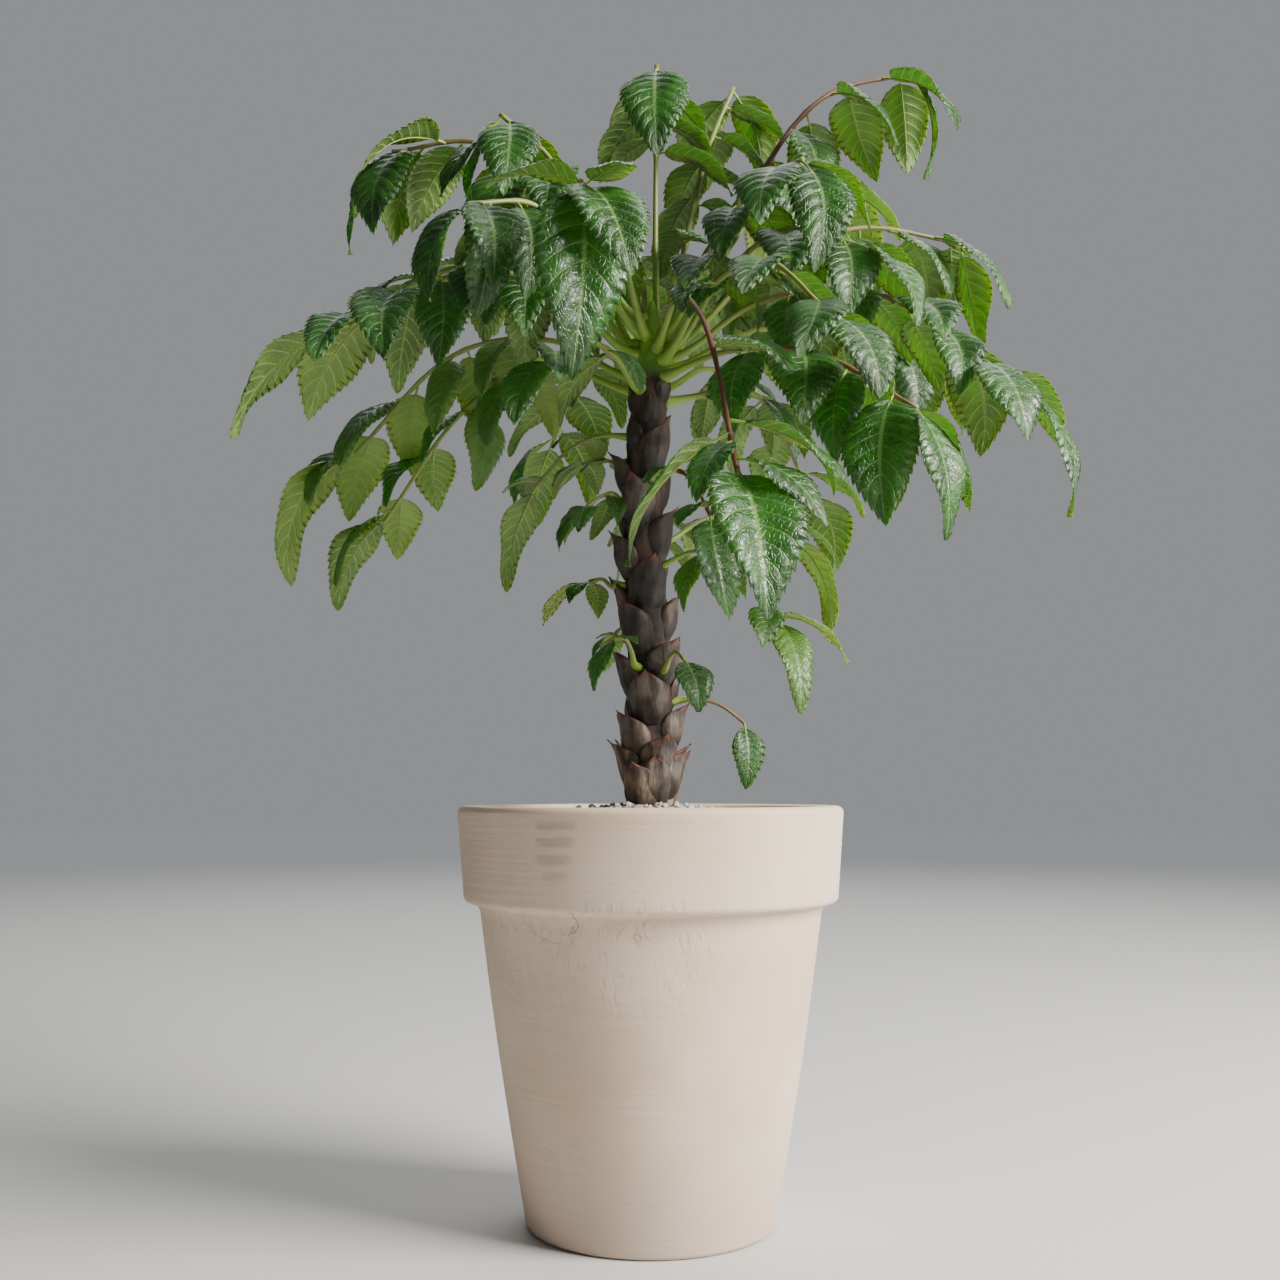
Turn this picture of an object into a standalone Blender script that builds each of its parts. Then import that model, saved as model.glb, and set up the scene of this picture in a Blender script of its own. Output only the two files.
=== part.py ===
"""A caudex plant in a tall clay pot: slender scaly trunk, crown of drooping compound leaves.

Metres, +Z up. The origin is at the middle of the pot's foot. Leaf measures are in mm and degrees.
Headings are seen from above: +X is right, +Y is the far side, -Y is the front.
"""
import math

import bpy
import numpy as np
from mathutils.bvhtree import BVHTree

for old in list(bpy.data.objects):
    bpy.data.objects.remove(old, do_unlink=True)

MM = 0.001
GAP = 0.3 * MM                 # between pieces that rest on each other

# Pot
POT_HEIGHT = 189 * MM
POT_FOOT_RADIUS = 57.5 * MM
POT_NECK_RADIUS = 79.5 * MM    # under the lip
LIP_HEIGHT = 44 * MM
LIP_TOP_RADIUS = 90 * MM
LIP_FOOT_RADIUS = 87 * MM
POT_WALL = 8 * MM
POT_FLOOR = 10 * MM
POT_EDGE = 3 * MM              # rounding of the foot, lip and rim
DRAIN_RADIUS = 12 * MM
POT_SEGMENTS = 36

# Soil and top dressing
SOIL_DEPTH_BELOW_RIM = 14 * MM
GRIT_THICKNESS = 9 * MM
GRIT_MOUND = 5 * MM            # extra height at the trunk
GRIT_LUMP = 0.9 * MM
ROOT_DEPTH = 45 * MM           # of the trunk's stub below the soil

# Trunk
TRUNK_HEIGHT = 225 * MM        # from the soil to the crown
TRUNK_RADIUS = 11 * MM
CROWN_RADIUS = 8.5 * MM
TRUNK_SWAY = 4 * MM
BUD_HEIGHT = 34 * MM           # green growing tip above the crown
CORE_SIDES = 14
SCALE_COUNT = 25
SCALE_HEIGHT = 24 * MM
SCALES_END_BELOW_CROWN = 24 * MM
SCALE_FLARE = 10 * MM          # of a scale's tip beyond the core
SCALE_HALF_ANGLE = math.radians(52)
SCALE_THICKNESS = 1.6 * MM
SCALE_ROOT_DEPTH = 1.2 * MM    # of a scale's foot in the core
SCALE_CROWDING = 1.25          # above 1, the scales stand closer together low down
FIRST_SCALE = 0.4              # heading of the lowest, in radians
GOLDEN_ANGLE = math.radians(137.5)

# Leaves
STALK_ROOT_RADIUS = 2.0 * MM
STALK_TIP_RADIUS = 0.9 * MM
STALK_SIDES = 5
SHOOT_ROOT_RADIUS = 1.3 * MM
SHOOT_TIP_RADIUS = 0.7 * MM
BLADE_THICKNESS = 0.9 * MM
BLADE_SHAPE = 0.54             # width over length, unless a leaflet gives its own
BLADE_FOLD = math.radians(20)  # each half rises from the midrib
BLADE_ARCH = 0.13              # rise of the midrib over its length
BLADE_FOOT = 0.09              # share of the length that is a bare foot
CLEARANCE = 1.2 * MM           # kept between leaflets as they grow
GUARD_START = 0.14             # share of a leaflet's length that may lie at its own stalk
HEEL_LENGTH = 3.5 * MM         # a stalk leaves the trunk level for this far
HEEL_RISE = 0.8 * MM
STALK_END = 0.985              # the end leaflet grows from here, inside the stalk
TURNS = range(-48, 49, 4)      # degrees a stalk may turn to find room
SHIFTS = range(-24, 25, 2)     # mm its root may move up or down
SWINGS = range(-60, 61, 10)    # degrees a leaflet may swing
LIFTS = range(-30, 31, 10)     # degrees it may lift
SHRINKS = (1, 0.85, 0.7, 0.55)   # sizes it may take; without room for the least, it doesn't grow
BLADE_STATIONS = (0, 0.09, 0.24, 0.46, 0.74, 0.98)   # shares of the length
ROUTE_STEPS = 2                # per span of a stalk
LEAFLET_KEYS = ("heading", "pairs", "length", "hang", "first", "tip", "large")
STALK_START = 14               # mm from the trunk's axis, where the arch of a stalk begins
ARCH_SHARES = (0.25, 0.6, 1)   # places along the arch where its height is worked out
FIRST_PAIR = 0.38              # share of the stalk where the leaflet pairs start
LAST_PAIR = 0.93
PAIR_STAGGER = 0.025           # the two of a pair stand this share apart
PAIR_SPREAD = (50, 80)         # degrees from the stalk, at the last pair and at the first
PAIR_TAPER = 0.2               # the first pair is shorter by this share
UNEVEN_LENGTH = 0.12
UNEVEN_HANG = 14               # degrees
UNEVEN_HEADING = 12            # degrees

SOIL_TOP = POT_HEIGHT - SOIL_DEPTH_BELOW_RIM
GRIT_TOP = SOIL_TOP + GAP + GRIT_THICKNESS + GRIT_MOUND + 2 * GRIT_LUMP    # at the trunk
CROWN = SOIL_TOP + TRUNK_HEIGHT

# Compound leaves of the crown. root, end: heights above the crown, in mm. heading: seen from above,
# 0 right, 90 far, -90 front. reach: how far out the stalk ends; arch: how far it bows up. pairs,
# length, hang: the leaflet pairs, how long they are and how steeply they point down. first: share
# of the stalk where the pairs start. tip: (heading, hang, length, width) of the end leaflet where it
# isn't like the others; large: such leaflets elsewhere, each with its share of the stalk in front.
LEAVES = {
    "leaf_front_left": dict(root=14, heading=-110, reach=90, end=58, arch=15, pairs=1, first=0.7,
                            length=45, hang=15, tip=(-95, 80, 92, 42), large=[(0.93, -60, 50, 66, 36)]),
    "leaf_front_stalk": dict(root=8, heading=-75, reach=130, end=-80, arch=45, pairs=1, first=0.4,
                             length=48, hang=50, tip=(-75, 60, 72, 42),
                             large=[(0.88, 180, 50, 68, 26), (0.84, -15, 35, 68, 28),
                                    (0.6, -50, 20, 52, 28)]),
    "leaf_upper_left": dict(root=12, heading=175, reach=130, end=115, arch=45, pairs=6, length=58,
                            hang=50),
    "leaf_top_centre": dict(root=22, heading=80, reach=20, end=165, arch=5, pairs=3, first=0.7,
                            length=48, hang=35, tip=(-90, 65, 62, 34)),
    "leaf_left_high": dict(root=6, heading=-160, reach=145, end=5, arch=35, pairs=5, length=58, hang=50,
                           tip=(-165, 45, 76, 36)),
    "leaf_left_back_high": dict(root=10, heading=160, reach=130, end=60, arch=25, pairs=4, length=50,
                                hang=40),
    "leaf_left_low": dict(root=-4, heading=160, reach=165, end=-30, arch=40, pairs=4, length=54, hang=55,
                          tip=(165, 60, 78, 32)),
    "leaf_left_lowest": dict(root=-10, heading=150, reach=165, end=-60, arch=40, pairs=4, length=50,
                             hang=45, tip=(145, 50, 60, 30)),
    "leaf_right_high": dict(root=12, heading=15, reach=170, end=80, arch=30, pairs=5, length=56, hang=55,
                            tip=(40, 75, 66, 26)),
    "leaf_right_droop": dict(root=4, heading=-15, reach=170, end=-20, arch=40, pairs=5, length=54, hang=45,
                             tip=(-40, 65, 72, 26)),
    "leaf_right_pale": dict(root=0, heading=5, reach=135, end=10, arch=20, pairs=3, length=46, hang=45),
    "leaf_right_low": dict(root=-6, heading=-40, reach=145, end=-45, arch=20, pairs=4, length=60, hang=60),
    "leaf_up_right_back": dict(root=18, heading=50, reach=70, end=170, arch=20, pairs=5, length=48,
                               hang=40),
    "leaf_top_right": dict(root=10, heading=15, reach=140, end=165, arch=45, pairs=5, length=56, hang=50,
                           tip=(15, 80, 56, 22)),
    "leaf_right_front_high": dict(root=16, heading=-40, reach=90, end=80, arch=20, pairs=3, length=54,
                                  hang=45, tip=(-80, 70, 62, 30)),
    "leaf_right_olive": dict(root=8, heading=40, reach=135, end=130, arch=30, pairs=3, length=56, hang=40,
                             tip=(45, 45, 60, 34)),
    "leaf_right_inner": dict(root=-16, heading=20, reach=65, end=-10, arch=5, pairs=2, length=34, hang=40),
    "leaf_front_right": dict(root=2, heading=-55, reach=130, end=-10, arch=35, pairs=3, length=50,
                             hang=40),
    "leaf_front_inner": dict(root=-12, heading=-125, reach=75, end=-15, arch=15, pairs=2, length=44,
                             hang=35),
    "leaf_left_front": dict(root=16, heading=-140, reach=105, end=55, arch=25, pairs=4, length=54, hang=50),
    "leaf_upper_left_front": dict(root=24, heading=-165, reach=75, end=120, arch=20, pairs=3, length=54,
                                  hang=50),
    "leaf_right_front": dict(root=6, heading=-30, reach=110, end=40, arch=30, pairs=3, length=52, hang=50),
    "leaf_back_right": dict(root=14, heading=60, reach=130, end=70, arch=25, pairs=4, length=52, hang=40),
    "leaf_back_centre": dict(root=20, heading=95, reach=135, end=95, arch=30, pairs=4, length=52, hang=40),
    "leaf_back_left": dict(root=10, heading=125, reach=130, end=100, arch=35, pairs=4, length=52, hang=40),
    "leaf_back_low_left": dict(root=-2, heading=115, reach=130, end=-10, arch=30, pairs=4, length=50,
                               hang=45),
    "leaf_back_low_right": dict(root=-8, heading=50, reach=140, end=-40, arch=35, pairs=4, length=50,
                                hang=45),
}

# Short shoots down the trunk: up is the root's share of the trunk, and heights are from the root.
SHOOTS = {
    "shoot_left_long": dict(up=0.85, heading=160, reach=60, end=-20, arch=10, pairs=2, length=26, hang=25,
                            tip=(140, 65, 56, 24)),
    "shoot_left_pale": dict(up=0.78, heading=140, reach=45, end=8, arch=5, pairs=2, length=24, hang=20),
    "shoot_left_mid": dict(up=0.7, heading=-150, reach=35, end=-5, arch=5, pairs=2, length=26, hang=40),
    "shoot_left_small": dict(up=0.5, heading=155, reach=30, end=8, arch=5, pairs=1, length=22, hang=35,
                             tip=(155, 35, 32, 15)),
    "shoot_left_front": dict(up=0.35, heading=-120, reach=30, end=12, arch=5, pairs=1, length=14, hang=10,
                             tip=(-150, 60, 28, 16)),
    "shoot_right_low": dict(up=0.35, heading=-60, reach=30, end=2, arch=5, pairs=0, length=26, hang=60,
                            tip=(-60, 60, 28, 19)),
    "shoot_right_lowest": dict(up=0.28, heading=5, reach=45, end=-10, arch=5, pairs=0, length=30, hang=80,
                               tip=(-80, 80, 32, 17)),
    "shoot_front_right": dict(up=0.75, heading=-70, reach=75, end=-30, arch=10, pairs=2, length=30,
                              hang=30, tip=(-60, 70, 50, 27)),
    "shoot_right_far": dict(up=0.62, heading=40, reach=95, end=15, arch=15, pairs=3, length=34, hang=35,
                            tip=(20, 65, 60, 20)),
    "shoot_right_near": dict(up=0.55, heading=-50, reach=85, end=-30, arch=20, pairs=2, length=36, hang=45,
                             tip=(-70, 60, 48, 18)),
    "shoot_back": dict(up=0.66, heading=90, reach=60, end=0, arch=10, pairs=2, length=32, hang=35),
    "shoot_back_low": dict(up=0.42, heading=115, reach=40, end=5, arch=5, pairs=1, length=24, hang=35),
}


def material(name, color, roughness):
    made = bpy.data.materials.new(name)
    made.use_nodes = True
    shader = made.node_tree.nodes["Principled BSDF"]
    shader.inputs["Base Color"].default_value = (*color, 1)
    shader.inputs["Roughness"].default_value = roughness
    return made


CLAY = material("clay", (0.6, 0.52, 0.45), 0.9)
SOIL = material("soil", (0.08, 0.055, 0.04), 0.95)
PUMICE = material("pumice", (0.72, 0.68, 0.6), 0.9)
BARK = material("bark", (0.2, 0.13, 0.09), 0.8)
LEAF = material("leaf", (0.1, 0.22, 0.06), 0.4)


def add_object(name, verts, faces, finish):
    mesh = bpy.data.meshes.new(name)
    mesh.from_pydata([tuple(v) for v in verts], [], faces)
    mesh.update()
    made = bpy.data.objects.new(name, mesh)
    mesh.materials.append(finish)
    bpy.context.collection.objects.link(made)
    return made


def arc(centre, radius, start, end, steps):
    """Points of a round corner, from angle start to end in degrees."""
    angles = [math.radians(start + (end - start) * i / steps) for i in range(steps + 1)]
    return [(centre[0] + radius * math.cos(a), centre[1] + radius * math.sin(a)) for a in angles]


def turned(name, profile, segments, finish, closed=True):
    """Turn an outline (radius, height), listed anticlockwise, about Z.

    closed outlines make a ring; open ones start and end on the axis, which becomes a pole.
    """
    rings = profile if closed else profile[1:-1]
    verts = [(r * math.cos(a), r * math.sin(a), z) for r, z in rings
             for a in (2 * math.pi * k / segments for k in range(segments))]
    count = len(rings)
    faces = []
    for i in range(count if closed else count - 1):
        here, there = i * segments, (i + 1) % count * segments
        for k in range(segments):
            nxt = (k + 1) % segments
            faces.append((here + k, here + nxt, there + nxt, there + k))
    if not closed:
        low, high = len(verts), len(verts) + 1
        verts += [(0, 0, profile[0][1]), (0, 0, profile[-1][1])]
        last = (count - 1) * segments
        for k in range(segments):
            nxt = (k + 1) % segments
            faces += [(low, nxt, k), (high, last + k, last + nxt)]
    return add_object(name, verts, faces, finish)


def inner_radius(z):
    """Inside of the pot's wall at a height."""
    share = z / (POT_HEIGHT - LIP_HEIGHT)
    return POT_FOOT_RADIUS + (POT_NECK_RADIUS - POT_FOOT_RADIUS) * share - POT_WALL


def make_pot():
    lip_foot = POT_HEIGHT - LIP_HEIGHT
    top_inner = inner_radius(POT_HEIGHT)
    outline = [(DRAIN_RADIUS, 0)]
    outline += arc((POT_FOOT_RADIUS - POT_EDGE, POT_EDGE), POT_EDGE, -90, -8, 3)
    outline += [(POT_NECK_RADIUS, lip_foot)]
    outline += arc((LIP_FOOT_RADIUS - POT_EDGE, lip_foot + POT_EDGE), POT_EDGE, -90, 0, 3)
    outline += arc((LIP_TOP_RADIUS - POT_EDGE, POT_HEIGHT - POT_EDGE), POT_EDGE, 0, 90, 3)
    outline += arc((top_inner + POT_EDGE, POT_HEIGHT - POT_EDGE), POT_EDGE, 90, 180, 3)
    outline += [(inner_radius(POT_FLOOR), POT_FLOOR), (DRAIN_RADIUS, POT_FLOOR)]
    return turned("pot", outline, POT_SEGMENTS, CLAY)


def make_soil():
    low = POT_FLOOR + GAP
    pocket = TRUNK_RADIUS + GAP
    outline = [(0, low), (inner_radius(low) - GAP, low), (inner_radius(SOIL_TOP) - GAP, SOIL_TOP),
               (pocket, SOIL_TOP), (pocket, SOIL_TOP - ROOT_DEPTH - GAP), (0, SOIL_TOP - ROOT_DEPTH - GAP)]
    return turned("potting_soil", outline, POT_SEGMENTS, SOIL, closed=False)


def make_grit():
    """A ring of grit around the trunk, mounded towards it, its top gently lumpy."""
    low = SOIL_TOP + GAP
    outer = inner_radius(low) - GAP
    inner = TRUNK_RADIUS + GAP
    steps = 4
    top = [(outer + (inner - outer) * i / steps,
            low + GRIT_THICKNESS + GRIT_MOUND * (i / steps) ** 2) for i in range(steps + 1)]
    made = turned("pumice_topdressing", [(inner, low), (outer, low)] + top, POT_SEGMENTS, PUMICE)
    for vertex in made.data.vertices:
        x, y, z = vertex.co
        if z > low + GRIT_THICKNESS / 2:
            vertex.co.z += GRIT_LUMP * math.sin(x / MM * 0.31) * math.cos(y / MM * 0.27)
    return made


def trunk_centre(z):
    """The trunk leans and sways a little between the grit and the crown."""
    share = max(0.0, min(1.0, (z - GRIT_TOP) / (CROWN - GRIT_TOP)))
    lean = math.sin(math.pi * share) * -0.6 + math.sin(2.2 * math.pi * share) * 0.4
    return np.array((TRUNK_SWAY * lean, 0.5 * TRUNK_SWAY * math.sin(2 * math.pi * share), z))


def trunk_radius(z):
    """The core narrows evenly up to the crown, and the bud above it is a rounded cone."""
    if z > CROWN:
        rise = min(1.0, (z - CROWN) / BUD_HEIGHT)
        return CROWN_RADIUS * (0.12 + 0.88 * math.cos(math.pi / 2 * rise))
    share = max(0.0, (z - SOIL_TOP) / TRUNK_HEIGHT)
    return TRUNK_RADIUS + (CROWN_RADIUS - TRUNK_RADIUS) * share


def ring_tube(centres, radii, sides, first_axis=None):
    """A closed tube along points; its frames are carried along without twist."""
    centres = np.array(centres, float)
    tangents = np.gradient(centres, axis=0)
    if first_axis is not None:
        tangents[0] = first_axis
    tangents /= np.linalg.norm(tangents, axis=1)[:, None]
    side = np.cross(tangents[0], (0.31, 0.17, 0.93))
    angles = 2 * math.pi * np.arange(sides) / sides
    verts = []
    for centre, tangent, radius in zip(centres, tangents, radii):
        side = side - tangent * side.dot(tangent)
        side /= np.linalg.norm(side)
        other = np.cross(tangent, side)
        verts += list(centre + radius * (np.outer(np.cos(angles), side) + np.outer(np.sin(angles), other)))
    faces = []
    for i in range(len(centres) - 1):
        for k in range(sides):
            a, b = i * sides + k, i * sides + (k + 1) % sides
            faces.append((a, b, b + sides, a + sides))
    faces.append(tuple(reversed(range(sides))))
    faces.append(tuple(range((len(centres) - 1) * sides, len(centres) * sides)))
    return verts, faces


def scale_shape(angle, z):
    """An old leaf base: a shell that hugs the core below and flares to a point above."""
    rows, columns = 3, 2
    skins = []
    for inset in (0, SCALE_THICKNESS):
        for i in range(rows + 1):
            v = i / rows
            height = z + SCALE_HEIGHT * v
            core = trunk_radius(height)
            spread = SCALE_HALF_ANGLE * (1 - 0.86 * v ** 1.4)
            for j in range(columns + 1):
                u = 2 * j / columns - 1
                reach = core - SCALE_ROOT_DEPTH + SCALE_FLARE * v ** 1.7 * (1 - 0.2 * u * u) - inset
                a = angle + spread * u
                skins.append(trunk_centre(height) + (reach * math.cos(a), reach * math.sin(a), 0))
    per = (rows + 1) * (columns + 1)

    def at(skin, i, j):
        return skin * per + i * (columns + 1) + j

    faces = []
    for i in range(rows):
        for j in range(columns):
            faces.append((at(0, i, j), at(0, i, j + 1), at(0, i + 1, j + 1), at(0, i + 1, j)))
            faces.append((at(1, i, j), at(1, i + 1, j), at(1, i + 1, j + 1), at(1, i, j + 1)))
        faces.append((at(0, i, 0), at(0, i + 1, 0), at(1, i + 1, 0), at(1, i, 0)))
        faces.append((at(0, i, columns), at(1, i, columns), at(1, i + 1, columns), at(0, i + 1, columns)))
    for j in range(columns):
        faces.append((at(0, 0, j), at(1, 0, j), at(1, 0, j + 1), at(0, 0, j + 1)))
        faces.append((at(0, rows, j), at(0, rows, j + 1), at(1, rows, j + 1), at(1, rows, j)))
    return skins, faces


def united(name, base, extras, finish):
    """One body from a base shape and the shapes that grow out of it."""
    body = add_object(name, *base, finish)
    verts, faces = [], []
    for more_verts, more_faces in extras:
        faces += [tuple(index + len(verts) for index in face) for face in more_faces]
        verts += list(more_verts)
    tool = add_object(name + "_joined", verts, faces, finish)
    tool.hide_render = True
    tool.display_type = "WIRE"
    union = body.modifiers.new("union", "BOOLEAN")
    union.operation = "UNION"
    union.use_self = True
    union.object = tool
    return body


def make_trunk():
    bottom = SOIL_TOP - ROOT_DEPTH
    heights = [bottom, *np.linspace(GRIT_TOP, CROWN, 11), *(CROWN + BUD_HEIGHT * np.linspace(0.25, 1, 4))]
    core = ring_tube([trunk_centre(z) for z in heights], [trunk_radius(z) for z in heights], CORE_SIDES)
    room = CROWN - SCALES_END_BELOW_CROWN - SCALE_HEIGHT - GRIT_TOP
    scales = [scale_shape(FIRST_SCALE + GOLDEN_ANGLE * k,
                          GRIT_TOP + room * (k / (SCALE_COUNT - 1)) ** SCALE_CROWDING)
              for k in range(SCALE_COUNT)]
    united("trunk", core, scales, BARK)
    return [tree(core)] + [tree(scale) for scale in scales]


def smooth_route(points, per_span):
    """A curve through the points, with no corner at any of them: on each span, a Hermite cubic
    whose end slopes halve the angle between the spans there and are as long as the span."""
    points = np.array(points, float)
    spans = np.diff(points, axis=0)
    lengths = np.linalg.norm(spans, axis=1)[:, None]
    ways = spans / lengths
    slopes = np.vstack([ways[:1], ways[:-1] + ways[1:], ways[-1:]])
    slopes /= np.linalg.norm(slopes, axis=1)[:, None]
    route = []
    for i, length in enumerate(lengths):
        for t in np.arange(per_span) / per_span:
            ahead = 3 * t ** 2 - 2 * t ** 3
            bend = slopes[i] * (t ** 3 - 2 * t ** 2 + t) + slopes[i + 1] * (t ** 3 - t ** 2)
            route.append(points[i] * (1 - ahead) + points[i + 1] * ahead + length * bend)
    return np.array(route + [points[-1]])


def along(route, share):
    """The point a share of the way along a route."""
    steps = np.linalg.norm(np.diff(route, axis=0), axis=1)
    reached = np.concatenate([[0], np.cumsum(steps)])
    return np.array([np.interp(share * reached[-1], reached, route[:, k]) for k in range(3)])


def blade(base, offset, width, thickness, first=0.0):
    """A pointed oval leaflet: a folded, arched sheet with a slim foot."""
    offset = np.array(offset, float)
    length = np.linalg.norm(offset)
    along_it = offset / length
    up = np.array((0, 0, 1.0)) - along_it * along_it[2]
    if np.linalg.norm(up) < 0.2:
        up = up + np.array((0.2, -0.2, 0))
        up -= along_it * up.dot(along_it)
    up /= np.linalg.norm(up)
    side = np.cross(along_it, up)
    verts = []
    for s in first + (1 - first) * np.array(BLADE_STATIONS):
        middle = base + offset * s + up * length * BLADE_ARCH * 4 * s * (1 - s)
        spread = max(0.0, (s - BLADE_FOOT) / (1 - BLADE_FOOT))
        half = max(0.6 * thickness, width / 2 * math.sin(math.pi * spread ** 0.72) ** 0.85)
        edge_rise = half * math.sin(BLADE_FOLD)
        edge = half * math.cos(BLADE_FOLD)
        verts += [middle + side * edge + up * edge_rise, middle + up * thickness / 2,
                  middle - side * edge + up * edge_rise, middle - up * thickness / 2]
    faces = [(0, 1, 2, 3)]
    for i in range(0, len(verts) - 4, 4):
        for k in range(4):      # upper and lower skin share their diagonals, so they can't cross
            here, nxt = i + k, i + (k + 1) % 4
            if k % 2 == 0:
                faces += [(here, here + 4, nxt + 4), (here, nxt + 4, nxt)]
            else:
                faces += [(here, here + 4, nxt), (here + 4, nxt + 4, nxt)]
    faces.append(tuple(range(len(verts) - 1, len(verts) - 5, -1)))
    return verts, faces


def tree(shape):
    return BVHTree.FromPolygons([tuple(v) for v in shape[0]], shape[1])


def piece_tree(piece):
    mesh = piece.data
    return tree(([v.co for v in mesh.vertices], [tuple(p.vertices) for p in mesh.polygons]))


def touches(shape, taken):
    guard = tree(shape)
    return any(guard.overlap(other) for other in taken)


def turned_about_z(vectors, angle):
    cos, sin = math.cos(angle), math.sin(angle)
    return np.array(vectors) @ np.array(((cos, sin, 0), (-sin, cos, 0), (0, 0, 1)))


def stalk_points(start, heading, reach, end, arch):
    """Points of a stalk that runs out along its heading and bows up as a parabola."""
    way = math.radians(heading)
    points = []
    for share in ARCH_SHARES:
        level = STALK_START + (reach - STALK_START) * share
        height = start + (end - start) * share + arch * 4 * share * (1 - share)
        points.append((level * math.cos(way), level * math.sin(way), height))
    return points


def leaflet_row(share, heading, hang, length, width):
    """A leaflet's place on the stalk, the way from there to its tip, and its width."""
    way, down = math.radians(heading), math.radians(hang)
    level = length * math.cos(down)
    offset = np.array((level * math.cos(way), level * math.sin(way), -length * math.sin(down)))
    return share, offset * MM, width * MM


def leaflet_rows(heading, pairs, length, hang, first=FIRST_PAIR, tip=None, large=()):
    """The end leaflet, the large ones, then the pairs from the tip of the stalk back to the first.

    Each pair stands wider and shorter than the one beyond it. Waves of the pair's number and the
    leaf's heading make the leaflets uneven in length, hang and direction."""
    if tip is None:
        tip = (heading, hang + UNEVEN_HANG, length, BLADE_SHAPE * length)
    rows = [leaflet_row(1, *tip)] + [leaflet_row(*each) for each in large]
    for k in range(pairs):
        back = (k + 0.5) / pairs
        for side in (1, -1):
            uneven = math.sin(2.4 * k + 1.7 * side + heading)
            sway = math.cos(1.9 * k + 2.6 * side + 2 * heading)
            long = length * (1 - PAIR_TAPER * back) * (1 + UNEVEN_LENGTH * uneven)
            spread = PAIR_SPREAD[0] + (PAIR_SPREAD[1] - PAIR_SPREAD[0]) * back + UNEVEN_HEADING * sway
            share = LAST_PAIR + (first - LAST_PAIR) * k / max(1, pairs - 1) + PAIR_STAGGER * side
            rows.append(leaflet_row(share, heading + side * spread, hang + UNEVEN_HANG * sway, long,
                                    BLADE_SHAPE * long))
    return rows


def grow_stalk(root_z, points, thick, taken):
    """A stalk from the trunk's skin through its points, turned or moved where others are in the way."""
    points = np.array(points, float) * MM
    tries = sorted(((turn, shift) for turn in TURNS for shift in SHIFTS),
                   key=lambda t: ((t[0] / 8) ** 2 + (t[1] / 5) ** 2, t))
    for turn, shift in tries:
        z = root_z + shift * MM
        moved = turned_about_z(points, math.radians(turn)) + (0, 0, root_z)
        heading = np.array((moved[0][0], moved[0][1], 0))
        heading /= np.linalg.norm(heading)
        root = trunk_centre(z) + heading * (trunk_radius(z - thick[0]) + GAP)
        heel = root + heading * HEEL_LENGTH + (0, 0, HEEL_RISE)
        route = smooth_route([root, heel, *moved], ROUTE_STEPS)
        radii = np.linspace(thick[0], thick[1], len(route))
        shape = ring_tube(route, radii, STALK_SIDES, heading)
        room = ring_tube(route, radii + CLEARANCE / 2, STALK_SIDES, heading)
        if not touches(shape, taken) and not touches(room, taken[1:]):
            break
    return route, shape


def grow_leaflet(base, offset, width, taken, own_stalk):
    """The leaflet nearest to its wished place that is clear of all that grew before it, or none.

    Only its foot may touch its own stalk."""
    strangers = [each for each in taken if each is not own_stalk]
    swings = sorted(((swing, lift) for swing in SWINGS for lift in LIFTS),
                    key=lambda s: (s[0] ** 2 + 2 * s[1] ** 2, s))
    for size in SHRINKS:
        for swing, lift in swings:
            flat = turned_about_z(offset, math.radians(swing))
            level = math.hypot(flat[0], flat[1])
            hang = math.atan2(flat[2], level) + math.radians(lift)
            length = np.linalg.norm(flat) * size
            moved = np.array((flat[0] / level * math.cos(hang), flat[1] / level * math.cos(hang),
                              math.sin(hang))) * length
            guard = blade(base, moved, width * size + CLEARANCE, BLADE_THICKNESS + CLEARANCE, GUARD_START)
            whole = blade(base, moved, width * size, BLADE_THICKNESS)
            if not touches(guard, taken) and not touches(whole, strangers):
                return moved, width * size, tree(guard)
    return None


def grow_all(blockers):
    """All stalks first, then the leaflets leaf by leaf; each leaf becomes one body."""
    stalks = {}
    taken = list(blockers)
    plans = [(name, CROWN + made["root"] * MM, made["root"], (STALK_ROOT_RADIUS, STALK_TIP_RADIUS), made)
             for name, made in LEAVES.items()]
    plans += [(name, SOIL_TOP + made["up"] * TRUNK_HEIGHT, 0, (SHOOT_ROOT_RADIUS, SHOOT_TIP_RADIUS), made)
              for name, made in SHOOTS.items()]
    for name, root_z, start, thick, made in plans:
        points = stalk_points(start, made["heading"], made["reach"], made["end"], made["arch"])
        above_root = [(x, y, z - start) for x, y, z in points]
        route, shape = grow_stalk(root_z, above_root, thick, taken)
        taken.append(tree(shape))
        stalks[name] = (route, shape, made, taken[-1])
    for name, (route, shape, made, own_stalk) in stalks.items():
        chosen = {key: made[key] for key in LEAFLET_KEYS if key in made}
        blades = []
        for share, offset, width in leaflet_rows(**chosen):
            base = along(route, min(share, STALK_END))
            leaflet = grow_leaflet(base, offset, width, taken, own_stalk)
            if leaflet is not None:
                offset, width, guard = leaflet
                blades.append(blade(base, offset, width, BLADE_THICKNESS))
                taken.append(guard)
        united(name, shape, blades, LEAF)


pot = make_pot()
make_soil()
grit = make_grit()
trunk_blockers = make_trunk()
grow_all(trunk_blockers + [piece_tree(pot), piece_tree(grit)])
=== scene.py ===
import math

import bpy
import numpy as np
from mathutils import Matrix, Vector
from mathutils.bvhtree import BVHTree


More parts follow.
